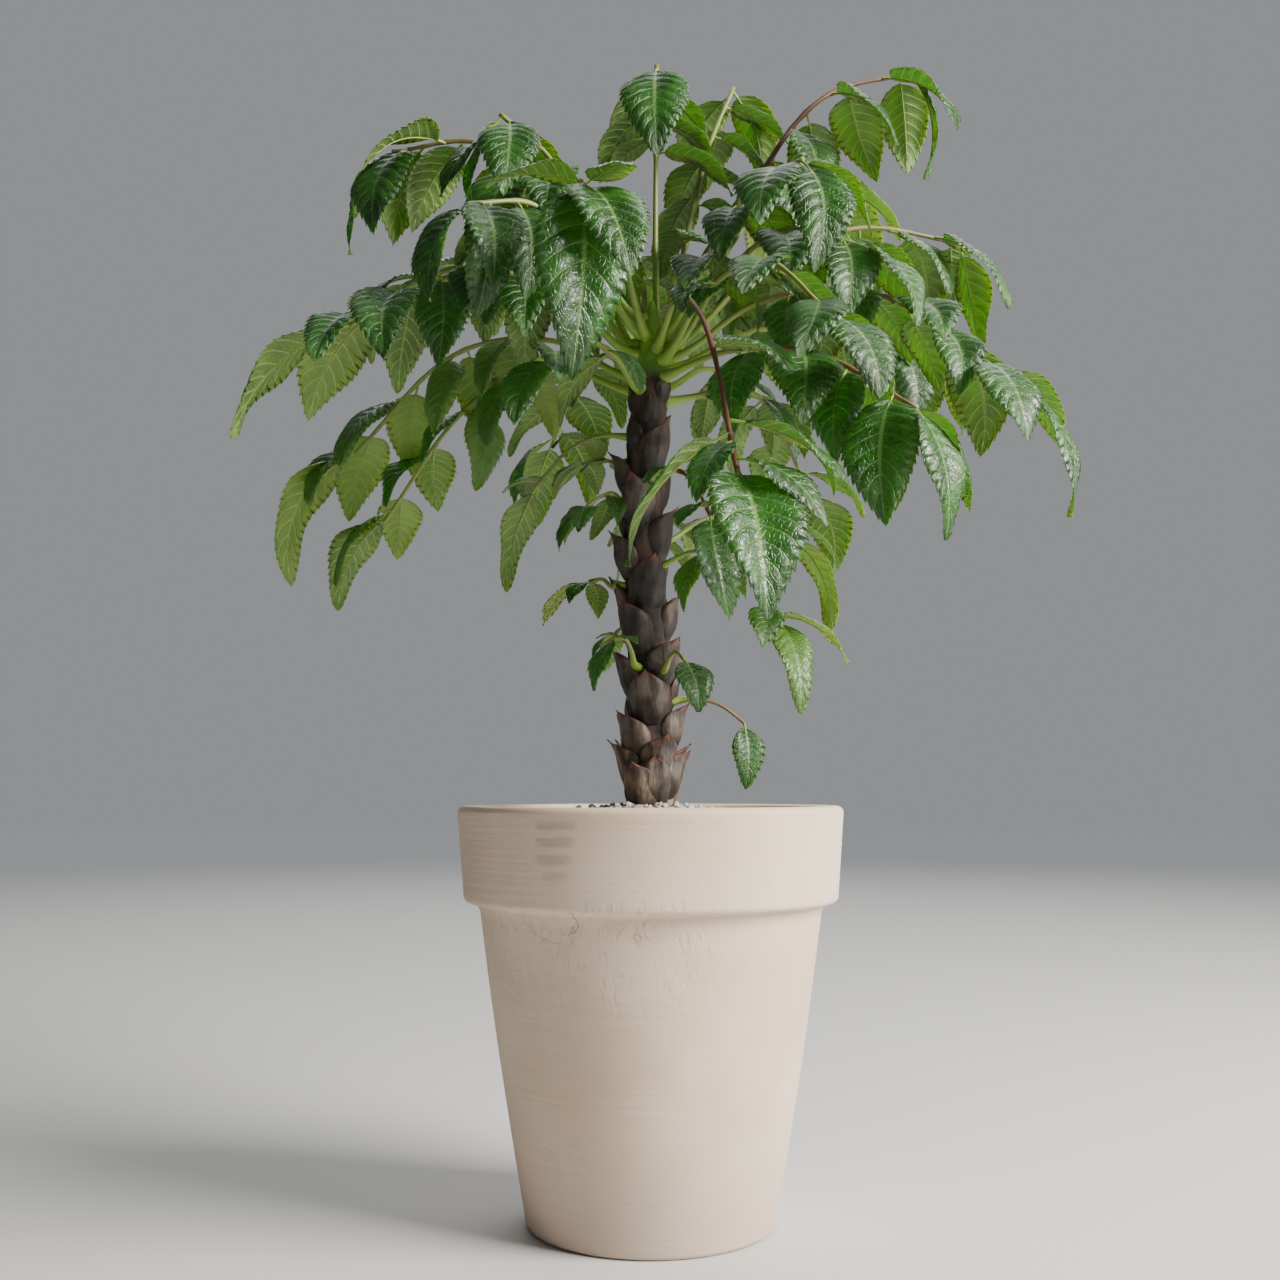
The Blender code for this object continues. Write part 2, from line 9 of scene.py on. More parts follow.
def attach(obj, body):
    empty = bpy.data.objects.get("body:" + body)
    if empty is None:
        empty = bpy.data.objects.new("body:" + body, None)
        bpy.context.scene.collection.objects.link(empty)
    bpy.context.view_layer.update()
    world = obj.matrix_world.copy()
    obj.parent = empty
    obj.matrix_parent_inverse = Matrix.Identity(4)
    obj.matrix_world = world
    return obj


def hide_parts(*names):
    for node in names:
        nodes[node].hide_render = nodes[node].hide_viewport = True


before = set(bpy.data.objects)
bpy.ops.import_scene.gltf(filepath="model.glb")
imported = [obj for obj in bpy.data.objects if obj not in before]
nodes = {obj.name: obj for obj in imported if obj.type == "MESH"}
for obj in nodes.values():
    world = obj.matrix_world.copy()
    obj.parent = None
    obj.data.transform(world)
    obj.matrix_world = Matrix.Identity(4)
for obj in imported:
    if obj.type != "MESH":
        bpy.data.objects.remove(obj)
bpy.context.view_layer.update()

mm = 0.001
print("frame loaded:", len(nodes), "nodes")

# The plant's own measures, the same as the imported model's
plant = {
    "gap": 0.3 * mm,
    "potHeight": 189 * mm, "potFoot": 57.5 * mm, "potNeck": 79.5 * mm, "lipHeight": 44 * mm,
    "lipTop": 90 * mm, "lipFoot": 87 * mm, "potWall": 8 * mm, "potFloor": 10 * mm, "drain": 12 * mm,
    "soilBelowRim": 14 * mm, "gritThick": 9 * mm, "gritMound": 5 * mm, "gritLump": 0.9 * mm,
    "rootDepth": 45 * mm, "trunkHeight": 225 * mm, "trunkRadius": 11 * mm, "crownRadius": 8.5 * mm,
    "sway": 4 * mm, "budHeight": 34 * mm, "scaleCount": 25, "scaleHeight": 24 * mm,
    "scalesBelowCrown": 24 * mm, "scaleFlare": 10 * mm, "scaleHalfAngle": math.radians(52),
    "scaleThick": 1.6 * mm, "goldenAngle": math.radians(137.5),
    "leafStalk": (2.0 * mm, 0.9 * mm), "shootStalk": (1.3 * mm, 0.7 * mm), "stalkSides": 5,
    "bladeThick": 0.9 * mm, "bladeShape": 0.54, "bladeFold": math.radians(20), "bladeArch": 0.13,
    "bladeFoot": 0.09, "clearance": 1.2 * mm, "guardStart": 0.14, "scaleRoot": 1.2 * mm,
    "scaleCrowding": 1.25, "firstScale": 0.4, "coreSides": 14,
    "heel": (3.5 * mm, 0.8 * mm), "stalkEnd": 0.985, "stalkStart": 14, "archShares": (0.25, 0.6, 1),
    "firstPair": 0.38, "lastPair": 0.93, "pairStagger": 0.025, "pairSpread": (50, 80),
    "pairTaper": 0.2, "unevenLength": 0.12, "unevenHang": 14, "unevenHeading": 12,
}
soilTop = plant["potHeight"] - plant["soilBelowRim"]
gritTop = soilTop + plant["gap"] + plant["gritThick"] + plant["gritMound"] + 2 * plant["gritLump"]
crown = soilTop + plant["trunkHeight"]

# Compound leaves of the crown. root, end: heights above the crown, in mm. heading: seen from above,
# 0 right, 90 far, -90 front. reach: how far out the stalk ends; arch: how far it bows up. pairs,
# length, hang: the leaflet pairs, how long they are and how steeply they point down. first: share
# of the stalk where the pairs start. tip: (heading, hang, length, width) of the end leaflet where it
# isn't like the others; large: such leaflets elsewhere, each with its share of the stalk in front.
leafPlan = {
    "leaf_front_left": dict(root=14, heading=-110, reach=90, end=58, arch=15, pairs=1, first=0.7,
                            length=45, hang=15, tip=(-95, 80, 92, 42), large=[(0.93, -60, 50, 66, 36)]),
    "leaf_front_stalk": dict(root=8, heading=-75, reach=130, end=-80, arch=45, pairs=1, first=0.4,
                             length=48, hang=50, tip=(-75, 60, 72, 42),
                             large=[(0.88, 180, 50, 68, 26), (0.84, -15, 35, 68, 28),
                                    (0.6, -50, 20, 52, 28)]),
    "leaf_upper_left": dict(root=12, heading=175, reach=130, end=115, arch=45, pairs=6, length=58,
                            hang=50),
    "leaf_top_centre": dict(root=22, heading=80, reach=20, end=165, arch=5, pairs=3, first=0.7,
                            length=48, hang=35, tip=(-90, 65, 62, 34)),
    "leaf_left_high": dict(root=6, heading=-160, reach=145, end=5, arch=35, pairs=5, length=58, hang=50,
                           tip=(-165, 45, 76, 36)),
    "leaf_left_back_high": dict(root=10, heading=160, reach=130, end=60, arch=25, pairs=4, length=50,
                                hang=40),
    "leaf_left_low": dict(root=-4, heading=160, reach=165, end=-30, arch=40, pairs=4, length=54, hang=55,
                          tip=(165, 60, 78, 32)),
    "leaf_left_lowest": dict(root=-10, heading=150, reach=165, end=-60, arch=40, pairs=4, length=50,
                             hang=45, tip=(145, 50, 60, 30)),
    "leaf_right_high": dict(root=12, heading=15, reach=170, end=80, arch=30, pairs=5, length=56, hang=55,
                            tip=(40, 75, 66, 26)),
    "leaf_right_droop": dict(root=4, heading=-15, reach=170, end=-20, arch=40, pairs=5, length=54, hang=45,
                             tip=(-40, 65, 72, 26)),
    "leaf_right_pale": dict(root=0, heading=5, reach=135, end=10, arch=20, pairs=3, length=46, hang=45),
    "leaf_right_low": dict(root=-6, heading=-40, reach=145, end=-45, arch=20, pairs=4, length=60, hang=60),
    "leaf_up_right_back": dict(root=18, heading=50, reach=70, end=170, arch=20, pairs=5, length=48,
                               hang=40),
    "leaf_top_right": dict(root=10, heading=15, reach=140, end=165, arch=45, pairs=5, length=56, hang=50,
                           tip=(15, 80, 56, 22)),
    "leaf_right_front_high": dict(root=16, heading=-40, reach=90, end=80, arch=20, pairs=3, length=54,
                                  hang=45, tip=(-80, 70, 62, 30)),
    "leaf_right_olive": dict(root=8, heading=40, reach=135, end=130, arch=30, pairs=3, length=56, hang=40,
                             tip=(45, 45, 60, 34)),
    "leaf_right_inner": dict(root=-16, heading=20, reach=65, end=-10, arch=5, pairs=2, length=34, hang=40),
    "leaf_front_right": dict(root=2, heading=-55, reach=130, end=-10, arch=35, pairs=3, length=50,
                             hang=40),
    "leaf_front_inner": dict(root=-12, heading=-125, reach=75, end=-15, arch=15, pairs=2, length=44,
                             hang=35),
    "leaf_left_front": dict(root=16, heading=-140, reach=105, end=55, arch=25, pairs=4, length=54, hang=50),
    "leaf_upper_left_front": dict(root=24, heading=-165, reach=75, end=120, arch=20, pairs=3, length=54,
                                  hang=50),
    "leaf_right_front": dict(root=6, heading=-30, reach=110, end=40, arch=30, pairs=3, length=52, hang=50),
    "leaf_back_right": dict(root=14, heading=60, reach=130, end=70, arch=25, pairs=4, length=52, hang=40),
    "leaf_back_centre": dict(root=20, heading=95, reach=135, end=95, arch=30, pairs=4, length=52, hang=40),
    "leaf_back_left": dict(root=10, heading=125, reach=130, end=100, arch=35, pairs=4, length=52, hang=40),
    "leaf_back_low_left": dict(root=-2, heading=115, reach=130, end=-10, arch=30, pairs=4, length=50,
                               hang=45),
    "leaf_back_low_right": dict(root=-8, heading=50, reach=140, end=-40, arch=35, pairs=4, length=50,
                                hang=45),
}

# Short shoots down the trunk: up is the root's share of the trunk, and heights are from the root.
shootPlan = {
    "shoot_left_long": dict(up=0.85, heading=160, reach=60, end=-20, arch=10, pairs=2, length=26, hang=25,
                            tip=(140, 65, 56, 24)),
    "shoot_left_pale": dict(up=0.78, heading=140, reach=45, end=8, arch=5, pairs=2, length=24, hang=20),
    "shoot_left_mid": dict(up=0.7, heading=-150, reach=35, end=-5, arch=5, pairs=2, length=26, hang=40),
    "shoot_left_small": dict(up=0.5, heading=155, reach=30, end=8, arch=5, pairs=1, length=22, hang=35,
                             tip=(155, 35, 32, 15)),
    "shoot_left_front": dict(up=0.35, heading=-120, reach=30, end=12, arch=5, pairs=1, length=14, hang=10,
                             tip=(-150, 60, 28, 16)),
    "shoot_right_low": dict(up=0.35, heading=-60, reach=30, end=2, arch=5, pairs=0, length=26, hang=60,
                            tip=(-60, 60, 28, 19)),
    "shoot_right_lowest": dict(up=0.28, heading=5, reach=45, end=-10, arch=5, pairs=0, length=30, hang=80,
                               tip=(-80, 80, 32, 17)),
    "shoot_front_right": dict(up=0.75, heading=-70, reach=75, end=-30, arch=10, pairs=2, length=30,
                              hang=30, tip=(-60, 70, 50, 27)),
    "shoot_right_far": dict(up=0.62, heading=40, reach=95, end=15, arch=15, pairs=3, length=34, hang=35,
                            tip=(20, 65, 60, 20)),
    "shoot_right_near": dict(up=0.55, heading=-50, reach=85, end=-30, arch=20, pairs=2, length=36, hang=45,
                             tip=(-70, 60, 48, 18)),
    "shoot_back": dict(up=0.66, heading=90, reach=60, end=0, arch=10, pairs=2, length=32, hang=35),
    "shoot_back_low": dict(up=0.42, heading=115, reach=40, end=5, arch=5, pairs=1, length=24, hang=35),
}

# The search for room. turns, shifts: where a stalk is tried, in degrees about the trunk and mm along it;
# swings, lifts, sizes: the same for a leaflet. stations: cross-sections of a blade, as shares of it.
growth = {
    "turns": range(-48, 49, 4), "shifts": range(-24, 25, 2), "turnCost": 8, "shiftCost": 5,
    "swings": range(-60, 61, 10), "lifts": range(-30, 31, 10), "sizes": (1, 0.85, 0.7, 0.55),
    "stations": (0, 0.09, 0.24, 0.46, 0.74, 0.98), "outline": (0.72, 0.85), "leastHalf": 0.6,
    "coreRings": 11, "budRings": 4,
}


# where everything grows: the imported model's own rule, repeated
def trunkCentre(z):
    # for one height or an array of them: the centre line leans by two sines of the height
    share = np.clip((z - gritTop) / (crown - gritTop), 0, 1)
    lean = np.sin(math.pi * share) * -0.6 + np.sin(2.2 * math.pi * share) * 0.4
    return np.stack([plant["sway"] * lean, 0.5 * plant["sway"] * np.sin(2 * math.pi * share), z], -1)


def trunkRadius(z):
    # a straight taper up to the crown, then a bud that closes as a cosine
    rise = np.clip((z - crown) / plant["budHeight"], 0, 1)
    bud = plant["crownRadius"] * (0.12 + 0.88 * np.cos(math.pi / 2 * rise))
    share = np.maximum(0, (z - soilTop) / plant["trunkHeight"])
    column = plant["trunkRadius"] + (plant["crownRadius"] - plant["trunkRadius"]) * share
    return np.where(z > crown, bud, column)


def gridFaces(rows, columns, closeRows=False, closeColumns=False):
    # quads of a rows x columns grid of vertices, as one array
    i = np.arange(rows if closeRows else rows - 1)[:, None]
    j = np.arange(columns if closeColumns else columns - 1)[None, :]
    nextI, nextJ = (i + 1) % rows, (j + 1) % columns
    quads = np.stack([i * columns + j, i * columns + nextJ, nextI * columns + nextJ, nextI * columns + j], -1)
    return quads.reshape(-1, 4)


def routeFrames(centres, firstAxis=None):
    # two directions across the route at each point, carried along it without twist
    tangents = np.gradient(centres, axis=0)
    if firstAxis is not None:
        tangents[0] = firstAxis
    tangents /= np.linalg.norm(tangents, axis=1)[:, None]
    side = np.cross(tangents[0], (0.31, 0.17, 0.93))    # a direction that no route starts in
    sides = []
    for tangent in tangents:
        side = side - tangent * side.dot(tangent)
        side = side / np.linalg.norm(side)
        sides.append(side)
    sides = np.array(sides)
    return sides, np.cross(tangents, sides)


def tubeGrid(centres, radii, sides, firstAxis=None):
    # rings of a tube round a route: (len(centres) * sides, 3)
    side, other = routeFrames(centres, firstAxis)
    angles = 2 * math.pi * np.arange(sides) / sides
    rings = centres[:, None] + radii[:, None, None] * (np.cos(angles)[None, :, None] * side[:, None]
                                                       + np.sin(angles)[None, :, None] * other[:, None])
    return rings.reshape(-1, 3)


def tubeFaces(rings, sides, start=0):
    # quads of a tube and the two caps that close it
    quads = gridFaces(rings, sides, closeColumns=True) + start
    last = start + (rings - 1) * sides
    return quads, [tuple(range(start + sides - 1, start - 1, -1)), tuple(range(last, last + sides))]


def closedTube(centres, radii, sides, firstAxis=None):
    quads, caps = tubeFaces(len(centres), sides)
    return tubeGrid(centres, radii, sides, firstAxis), quads.tolist() + caps


def sheetFaces(rows, columns):
    # a thin closed sheet of two grids, the outer one first: outer quads, inner quads and the rim between
    outer = gridFaces(rows, columns)
    count = rows * columns
    inner = outer[:, (0, 3, 2, 1)] + count
    ring = np.concatenate([np.arange(columns), np.arange(1, rows) * columns + columns - 1,
                           (rows - 1) * columns + np.arange(columns - 2, -1, -1),
                           np.arange(rows - 2, 0, -1) * columns])
    ahead = np.roll(ring, -1)
    rim = np.stack([ahead, ring, ring + count, ahead + count], -1)
    return outer, inner, rim


def scaleGuard(angle, z):
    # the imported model's plain shell: it narrows and flares as powers of the climb
    rows, columns = 4, 3
    climb, turn = np.meshgrid(np.linspace(0, 1, rows), np.linspace(-1, 1, columns), indexing="ij")
    height = z + plant["scaleHeight"] * climb
    around = angle + plant["scaleHalfAngle"] * (1 - 0.86 * climb ** 1.4) * turn
    flare = plant["scaleFlare"] * climb ** 1.7 * (1 - 0.2 * turn ** 2)
    skins = []
    for inset in (0, plant["scaleThick"]):
        reach = trunkRadius(height) - plant["scaleRoot"] + flare - inset
        ring = np.stack([reach * np.cos(around), reach * np.sin(around), 0 * reach], -1)
        skins.append((trunkCentre(height) + ring).reshape(-1, 3))
    return np.concatenate(skins), np.concatenate(sheetFaces(rows, columns)).tolist()


def smoothRoute(points, perSpan):
    # on each span a Hermite cubic whose end slopes halve the angle there and are as long as the span
    points = np.array(points, float)
    spans = np.diff(points, axis=0)
    lengths = np.linalg.norm(spans, axis=1)[:, None]
    ways = spans / lengths
    slopes = np.vstack([ways[:1], ways[:-1] + ways[1:], ways[-1:]])
    slopes /= np.linalg.norm(slopes, axis=1)[:, None]
    route = []
    for i, length in enumerate(lengths):
        for t in np.arange(perSpan) / perSpan:
            ahead = 3 * t ** 2 - 2 * t ** 3
            bend = slopes[i] * (t ** 3 - 2 * t ** 2 + t) + slopes[i + 1] * (t ** 3 - t ** 2)
            route.append(points[i] * (1 - ahead) + points[i + 1] * ahead + length * bend)
    return np.array(route + [points[-1]])


def pointAlong(route, share):
    steps = np.linalg.norm(np.diff(route, axis=0), axis=1)
    reached = np.concatenate([[0], np.cumsum(steps)])
    return np.array([np.interp(share * reached[-1], reached, route[:, k]) for k in range(3)])


def bladeFrame(offset):
    # a blade's length and its directions: along it, up from it and to its side; one that hangs almost
    # straight down has no up of its own, so a fixed slant is added
    length = np.linalg.norm(offset)
    way = offset / length
    up = np.array((0, 0, 1.0)) - way * way[2]
    if np.linalg.norm(up) < 0.2:
        up = up + np.array((0.2, -0.2, 0))
        up -= way * up.dot(way)
    up /= np.linalg.norm(up)
    return length, way, up, np.cross(way, up)


def bladeGuard(base, offset, width, thickness, first=0.0):
    # a folded strip of four-cornered cross-sections on an arched midrib, from the share first to its tip
    length, _, up, side = bladeFrame(offset)
    s = (first + (1 - first) * np.array(growth["stations"]))[:, None]
    middle = base + offset * s + up * length * plant["bladeArch"] * 4 * s * (1 - s)
    spread = np.maximum(0.0, (s - plant["bladeFoot"]) / (1 - plant["bladeFoot"]))
    widest, blunt = growth["outline"]
    outline = np.sin(math.pi * spread ** widest) ** blunt
    half = np.maximum(growth["leastHalf"] * thickness, width / 2 * outline)
    edge = side * (half * math.cos(plant["bladeFold"]))
    rise = up * (half * math.sin(plant["bladeFold"]))
    verts = np.stack([middle + edge + rise, middle + up * thickness / 2,
                      middle - edge + rise, middle - up * thickness / 2], 1).reshape(-1, 3)
    # two triangles on each of the four sides between one cross-section and the next
    span = np.array([(0, 4, 5), (0, 5, 1), (1, 5, 2), (5, 6, 2), (2, 6, 7), (2, 7, 3), (3, 7, 0), (7, 4, 0)])
    spans = (span + 4 * np.arange(len(s) - 1)[:, None, None]).reshape(-1, 3).tolist()
    last = len(verts) - 1
    return verts, [(0, 1, 2, 3), *spans, (last, last - 1, last - 2, last - 3)]


def tree(shape):
    return BVHTree.FromPolygons([tuple(v) for v in shape[0]], shape[1])


def touches(shape, taken):
    guard = tree(shape)
    return any(guard.overlap(other) for other in taken)


def turnedAboutZ(vectors, angle):
    cos, sin = math.cos(angle), math.sin(angle)
    return np.array(vectors) @ np.array(((cos, sin, 0), (-sin, cos, 0), (0, 0, 1)))


def stalkPoints(start, heading, reach, end, arch):
    # the stalk runs out along its heading and bows up as a parabola
    way = math.radians(heading)
    points = []
    for share in plant["archShares"]:
        level = plant["stalkStart"] + (reach - plant["stalkStart"]) * share
        height = start + (end - start) * share + arch * 4 * share * (1 - share)
        points.append((level * math.cos(way), level * math.sin(way), height))
    return points


def leafletRow(share, heading, hang, length, width):
    way, down = math.radians(heading), math.radians(hang)
    level = length * math.cos(down)
    offset = np.array((level * math.cos(way), level * math.sin(way), -length * math.sin(down)))
    return share, offset * mm, width * mm


def leafletRows(heading, pairs, length, hang, first=plant["firstPair"], tip=None, large=()):
    # the end leaflet, the large ones, then the pairs from the far end of the stalk back to the first
    if tip is None:
        tip = (heading, hang + plant["unevenHang"], length, plant["bladeShape"] * length)
    rows = [leafletRow(1, *tip)] + [leafletRow(*each) for each in large]
    near, wide = plant["pairSpread"]
    for k in range(pairs):
        back = (k + 0.5) / pairs
        for side in (1, -1):
            uneven = math.sin(2.4 * k + 1.7 * side + heading)
            sway = math.cos(1.9 * k + 2.6 * side + 2 * heading)
            long = length * (1 - plant["pairTaper"] * back) * (1 + plant["unevenLength"] * uneven)
            spread = near + (wide - near) * back + plant["unevenHeading"] * sway
            share = plant["lastPair"] + (first - plant["lastPair"]) * k / max(1, pairs - 1)
            rows.append(leafletRow(share + plant["pairStagger"] * side, heading + side * spread,
                                   hang + plant["unevenHang"] * sway, long, plant["bladeShape"] * long))
    return rows


def growStalk(rootZ, points, thick, taken):
    # the nearest turn and shift at which the stalk is clear, with room round it except at the trunk's core
    points = np.array(points, float) * mm
    tries = sorted(((turn, shift) for turn in growth["turns"] for shift in growth["shifts"]),
                   key=lambda t: ((t[0] / growth["turnCost"]) ** 2 + (t[1] / growth["shiftCost"]) ** 2, t))
    sides = plant["stalkSides"]
    for turn, shift in tries:
        z = rootZ + shift * mm
        moved = turnedAboutZ(points, math.radians(turn)) + (0, 0, rootZ)
        heading = np.array((moved[0][0], moved[0][1], 0))
        heading /= np.linalg.norm(heading)
        root = trunkCentre(z) + heading * (trunkRadius(z - thick[0]) + plant["gap"])
        corners = [root, root + heading * plant["heel"][0] + (0, 0, plant["heel"][1]), *moved]
        route = smoothRoute(corners, 2)
        radii = np.linspace(thick[0], thick[1], len(route))
        shape = closedTube(route, radii, sides, heading)
        room = closedTube(route, radii + plant["clearance"] / 2, sides, heading)
        if not touches(shape, taken) and not touches(room, taken[1:]):
            break
    return route, corners, shape


def growLeaflet(base, offset, width, taken, ownStalk):
    # the nearest swing, lift and size with room round the blade; only its foot may touch its own stalk
    strangers = [each for each in taken if each is not ownStalk]
    swings = sorted(((a, b) for a in growth["swings"] for b in growth["lifts"]),
                    key=lambda s: (s[0] ** 2 + 2 * s[1] ** 2, s))
    for size in growth["sizes"]:
        for swing, lift in swings:
            flat = turnedAboutZ(offset, math.radians(swing))
            level = math.hypot(flat[0], flat[1])
            hang = math.atan2(flat[2], level) + math.radians(lift)
            length = np.linalg.norm(flat) * size
            moved = np.array((flat[0] / level * math.cos(hang), flat[1] / level * math.cos(hang),
                              math.sin(hang))) * length
            guard = bladeGuard(base, moved, width * size + plant["clearance"],
                               plant["bladeThick"] + plant["clearance"], plant["guardStart"])
            whole = bladeGuard(base, moved, width * size, plant["bladeThick"])
            if not touches(guard, taken) and not touches(whole, strangers):
                return moved, width * size, tree(guard)
    return None


def growAll():
    # all stalks first, then the leaflets, each at the nearest place that is clear of what grew before
    column = np.linspace(gritTop, crown, growth["coreRings"])
    bud = crown + plant["budHeight"] * np.linspace(0.25, 1, growth["budRings"])
    heights = np.concatenate([[soilTop - plant["rootDepth"]], column, bud])
    core = closedTube(trunkCentre(heights), trunkRadius(heights), plant["coreSides"])
    taken = [tree(core)] + [tree(scaleGuard(angle, z)) for angle, z in scalePlaces]
    for name in ("pot", "pumice_topdressing"):
        mesh = nodes[name].data
        taken.append(tree(([v.co for v in mesh.vertices], [tuple(p.vertices) for p in mesh.polygons])))
    plans = [(name, crown + made["root"] * mm, made["root"], plant["leafStalk"], made)
             for name, made in leafPlan.items()]
    plans += [(name, soilTop + made["up"] * plant["trunkHeight"], 0, plant["shootStalk"], made)
              for name, made in shootPlan.items()]
    stalks = {}
    for name, rootZ, start, thick, made in plans:
        points = stalkPoints(start, made["heading"], made["reach"], made["end"], made["arch"])
        aboveRoot = [(x, y, z - start) for x, y, z in points]
        route, corners, shape = growStalk(rootZ, aboveRoot, thick, taken)
        taken.append(tree(shape))
        stalks[name] = (route, corners, made, taken[-1])
    grown = {}
    for name, (route, corners, made, ownStalk) in stalks.items():
        chosen = {key: made[key] for key in ("heading", "pairs", "length", "hang", "first", "tip", "large")
                  if key in made}
        rows = []
        for share, offset, width in leafletRows(**chosen):
            base = pointAlong(route, min(share, plant["stalkEnd"]))
            leaflet = growLeaflet(base, offset, width, taken, ownStalk)
            if leaflet is not None:
                offset, width, guard = leaflet
                rows.append((share, base, offset, width))
                taken.append(guard)
        grown[name] = (corners, route, rows)
    return grown


scaleRoom = crown - plant["scalesBelowCrown"] - plant["scaleHeight"] - gritTop
scalePlaces = [(plant["firstScale"] + plant["goldenAngle"] * k,
                gritTop + scaleRoom * (k / (plant["scaleCount"] - 1)) ** plant["scaleCrowding"])
               for k in range(plant["scaleCount"])]
grown = growAll()
print("grown:", len(grown), "leaves and shoots")


def makePiece(name, verts, quads, materials, faceMaterial=None, uv=None, tone=None, caps=()):
    # verts (n, 3); quads (m, 4); caps are extra faces of any length; uv and tone are per vertex
    mesh = bpy.data.meshes.new(name)
    faces = [tuple(q) for q in np.asarray(quads).tolist()] + [tuple(c) for c in caps]
    mesh.from_pydata(np.asarray(verts, float).tolist(), [], faces)
    for each in materials:
        mesh.materials.append(each)
    if faceMaterial is not None:
        mesh.polygons.foreach_set("material_index", faceMaterial.astype(np.int32))
    loops = np.empty(len(mesh.loops), np.int32)
    mesh.loops.foreach_get("vertex_index", loops)
    if uv is not None:
        layer = mesh.uv_layers.new(name="UVMap")
        layer.data.foreach_set("uv", np.asarray(uv, float)[loops].ravel())
    if tone is not None:
        mesh.attributes.new("tone", "FLOAT", "POINT").data.foreach_set("value", np.asarray(tone, float))
    mesh.polygons.foreach_set("use_smooth", np.ones(len(faces), bool))
    mesh.update()
    piece = bpy.data.objects.new(name, mesh)
    bpy.context.collection.objects.link(piece)
    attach(piece, "root")
    return piece

def lumps(points, scale, seed=0):
    # smooth noise from sines of mixed directions, about -1 to 1
    rng = np.random.default_rng(seed)
    total = np.zeros(len(points))
    for _ in range(7):
        way = rng.normal(size=3)
        total += np.sin(points @ (way / np.linalg.norm(way)) * scale * rng.uniform(0.6, 1.7)
                        + rng.uniform(0, 2 * math.pi))
    return total / 4


def newGroup(name, inputs, outputs):
    group = bpy.data.node_groups.new(name, "ShaderNodeTree")
    for socketName, kind, value in inputs:
        made = group.interface.new_socket(socketName, in_out="INPUT", socket_type=kind)
        made.default_value = value
    for socketName, kind in outputs:
        group.interface.new_socket(socketName, in_out="OUTPUT", socket_type=kind)
    return group, group.nodes.new("NodeGroupInput"), group.nodes.new("NodeGroupOutput")


class Wires:
    # short ways to add shader nodes to one tree
    def __init__(self, tree):
        self.nodes, self.links = tree.nodes, tree.links
        self.shader = tree.nodes.get("Principled BSDF")

    def put(self, socket, value):
        if isinstance(value, bpy.types.NodeSocket):
            self.links.new(value, socket)
        else:
            socket.default_value = value

    def math(self, operation, a, b=0.0):
        node = self.nodes.new("ShaderNodeMath")
        node.operation = operation
        self.put(node.inputs[0], a)
        self.put(node.inputs[1], b)
        return node.outputs[0]

    def times(self, product, *others):
        for each in others:
            product = self.math("MULTIPLY", product, each)
        return product

    def awayFrom(self, value, middle):
        return self.math("ABSOLUTE", self.math("SUBTRACT", value, middle))

    def range(self, value, low, high, outLow=0.0, outHigh=1.0):
        node = self.nodes.new("ShaderNodeMapRange")
        node.interpolation_type = "SMOOTHSTEP"
        self.put(node.inputs["Value"], value)
        for key, each in (("From Min", low), ("From Max", high), ("To Min", outLow), ("To Max", outHigh)):
            node.inputs[key].default_value = each
        return node.outputs["Result"]

    def mix(self, factor, a, b):
        node = self.nodes.new("ShaderNodeMix")
        node.data_type = "RGBA"
        self.put(node.inputs[0], factor)
        for socket, colour in ((node.inputs[6], a), (node.inputs[7], b)):
            self.put(socket, colour if isinstance(colour, bpy.types.NodeSocket) else (*colour, 1))
        return node.outputs[2]

    def noise(self, vector, scale, detail=3.0, stretch=None):
        if stretch:
            mapping = self.nodes.new("ShaderNodeMapping")
            mapping.inputs["Scale"].default_value = stretch
            self.links.new(vector, mapping.inputs["Vector"])
            vector = mapping.outputs[0]
        node = self.nodes.new("ShaderNodeTexNoise")
        node.inputs["Scale"].default_value = scale
        node.inputs["Detail"].default_value = detail
        self.links.new(vector, node.inputs["Vector"])
        return node.outputs["Fac"]

    def cells(self, vector, scale, feature="DISTANCE_TO_EDGE"):
        node = self.nodes.new("ShaderNodeTexVoronoi")
        node.feature = feature
        node.inputs["Scale"].default_value = scale
        self.links.new(vector, node.inputs["Vector"])
        return node.outputs["Distance"]

    def coords(self):
        return self.nodes.new("ShaderNodeTexCoord").outputs["Object"]

    def axes(self, vector):
        split = self.nodes.new("ShaderNodeSeparateXYZ")
        self.links.new(vector, split.inputs[0])
        return list(split.outputs)

    def uv(self):
        return self.axes(self.nodes.new("ShaderNodeTexCoord").outputs["UV"])[:2]

    def tone(self):
        node = self.nodes.new("ShaderNodeAttribute")
        node.attribute_name = "tone"
        return node.outputs["Fac"]

    def group(self, tree, **values):
        node = self.nodes.new("ShaderNodeGroup")
        node.node_tree = tree
        for key, value in values.items():
            self.put(node.inputs[key], value)
        return node.outputs

    def skin(self, base, height, strength, distance, rough=None):
        # wires up the shader: its colour, the height that bumps it and, where it varies, its roughness
        bump = self.nodes.new("ShaderNodeBump")
        bump.inputs["Strength"].default_value = strength
        bump.inputs["Distance"].default_value = distance
        self.links.new(height, bump.inputs["Height"])
        self.links.new(bump.outputs["Normal"], self.shader.inputs["Normal"])
        self.links.new(base, self.shader.inputs["Base Color"])
        if rough is not None:
            self.links.new(rough, self.shader.inputs["Roughness"])


def newMaterial(name, roughness=0.5, **constants):
    made = bpy.data.materials.new(name)
    made.use_nodes = True
    w = Wires(made.node_tree)
    w.shader.inputs["Roughness"].default_value = roughness
    for key, value in constants.items():
        w.shader.inputs[key.replace("_", " ")].default_value = value
    return made, w


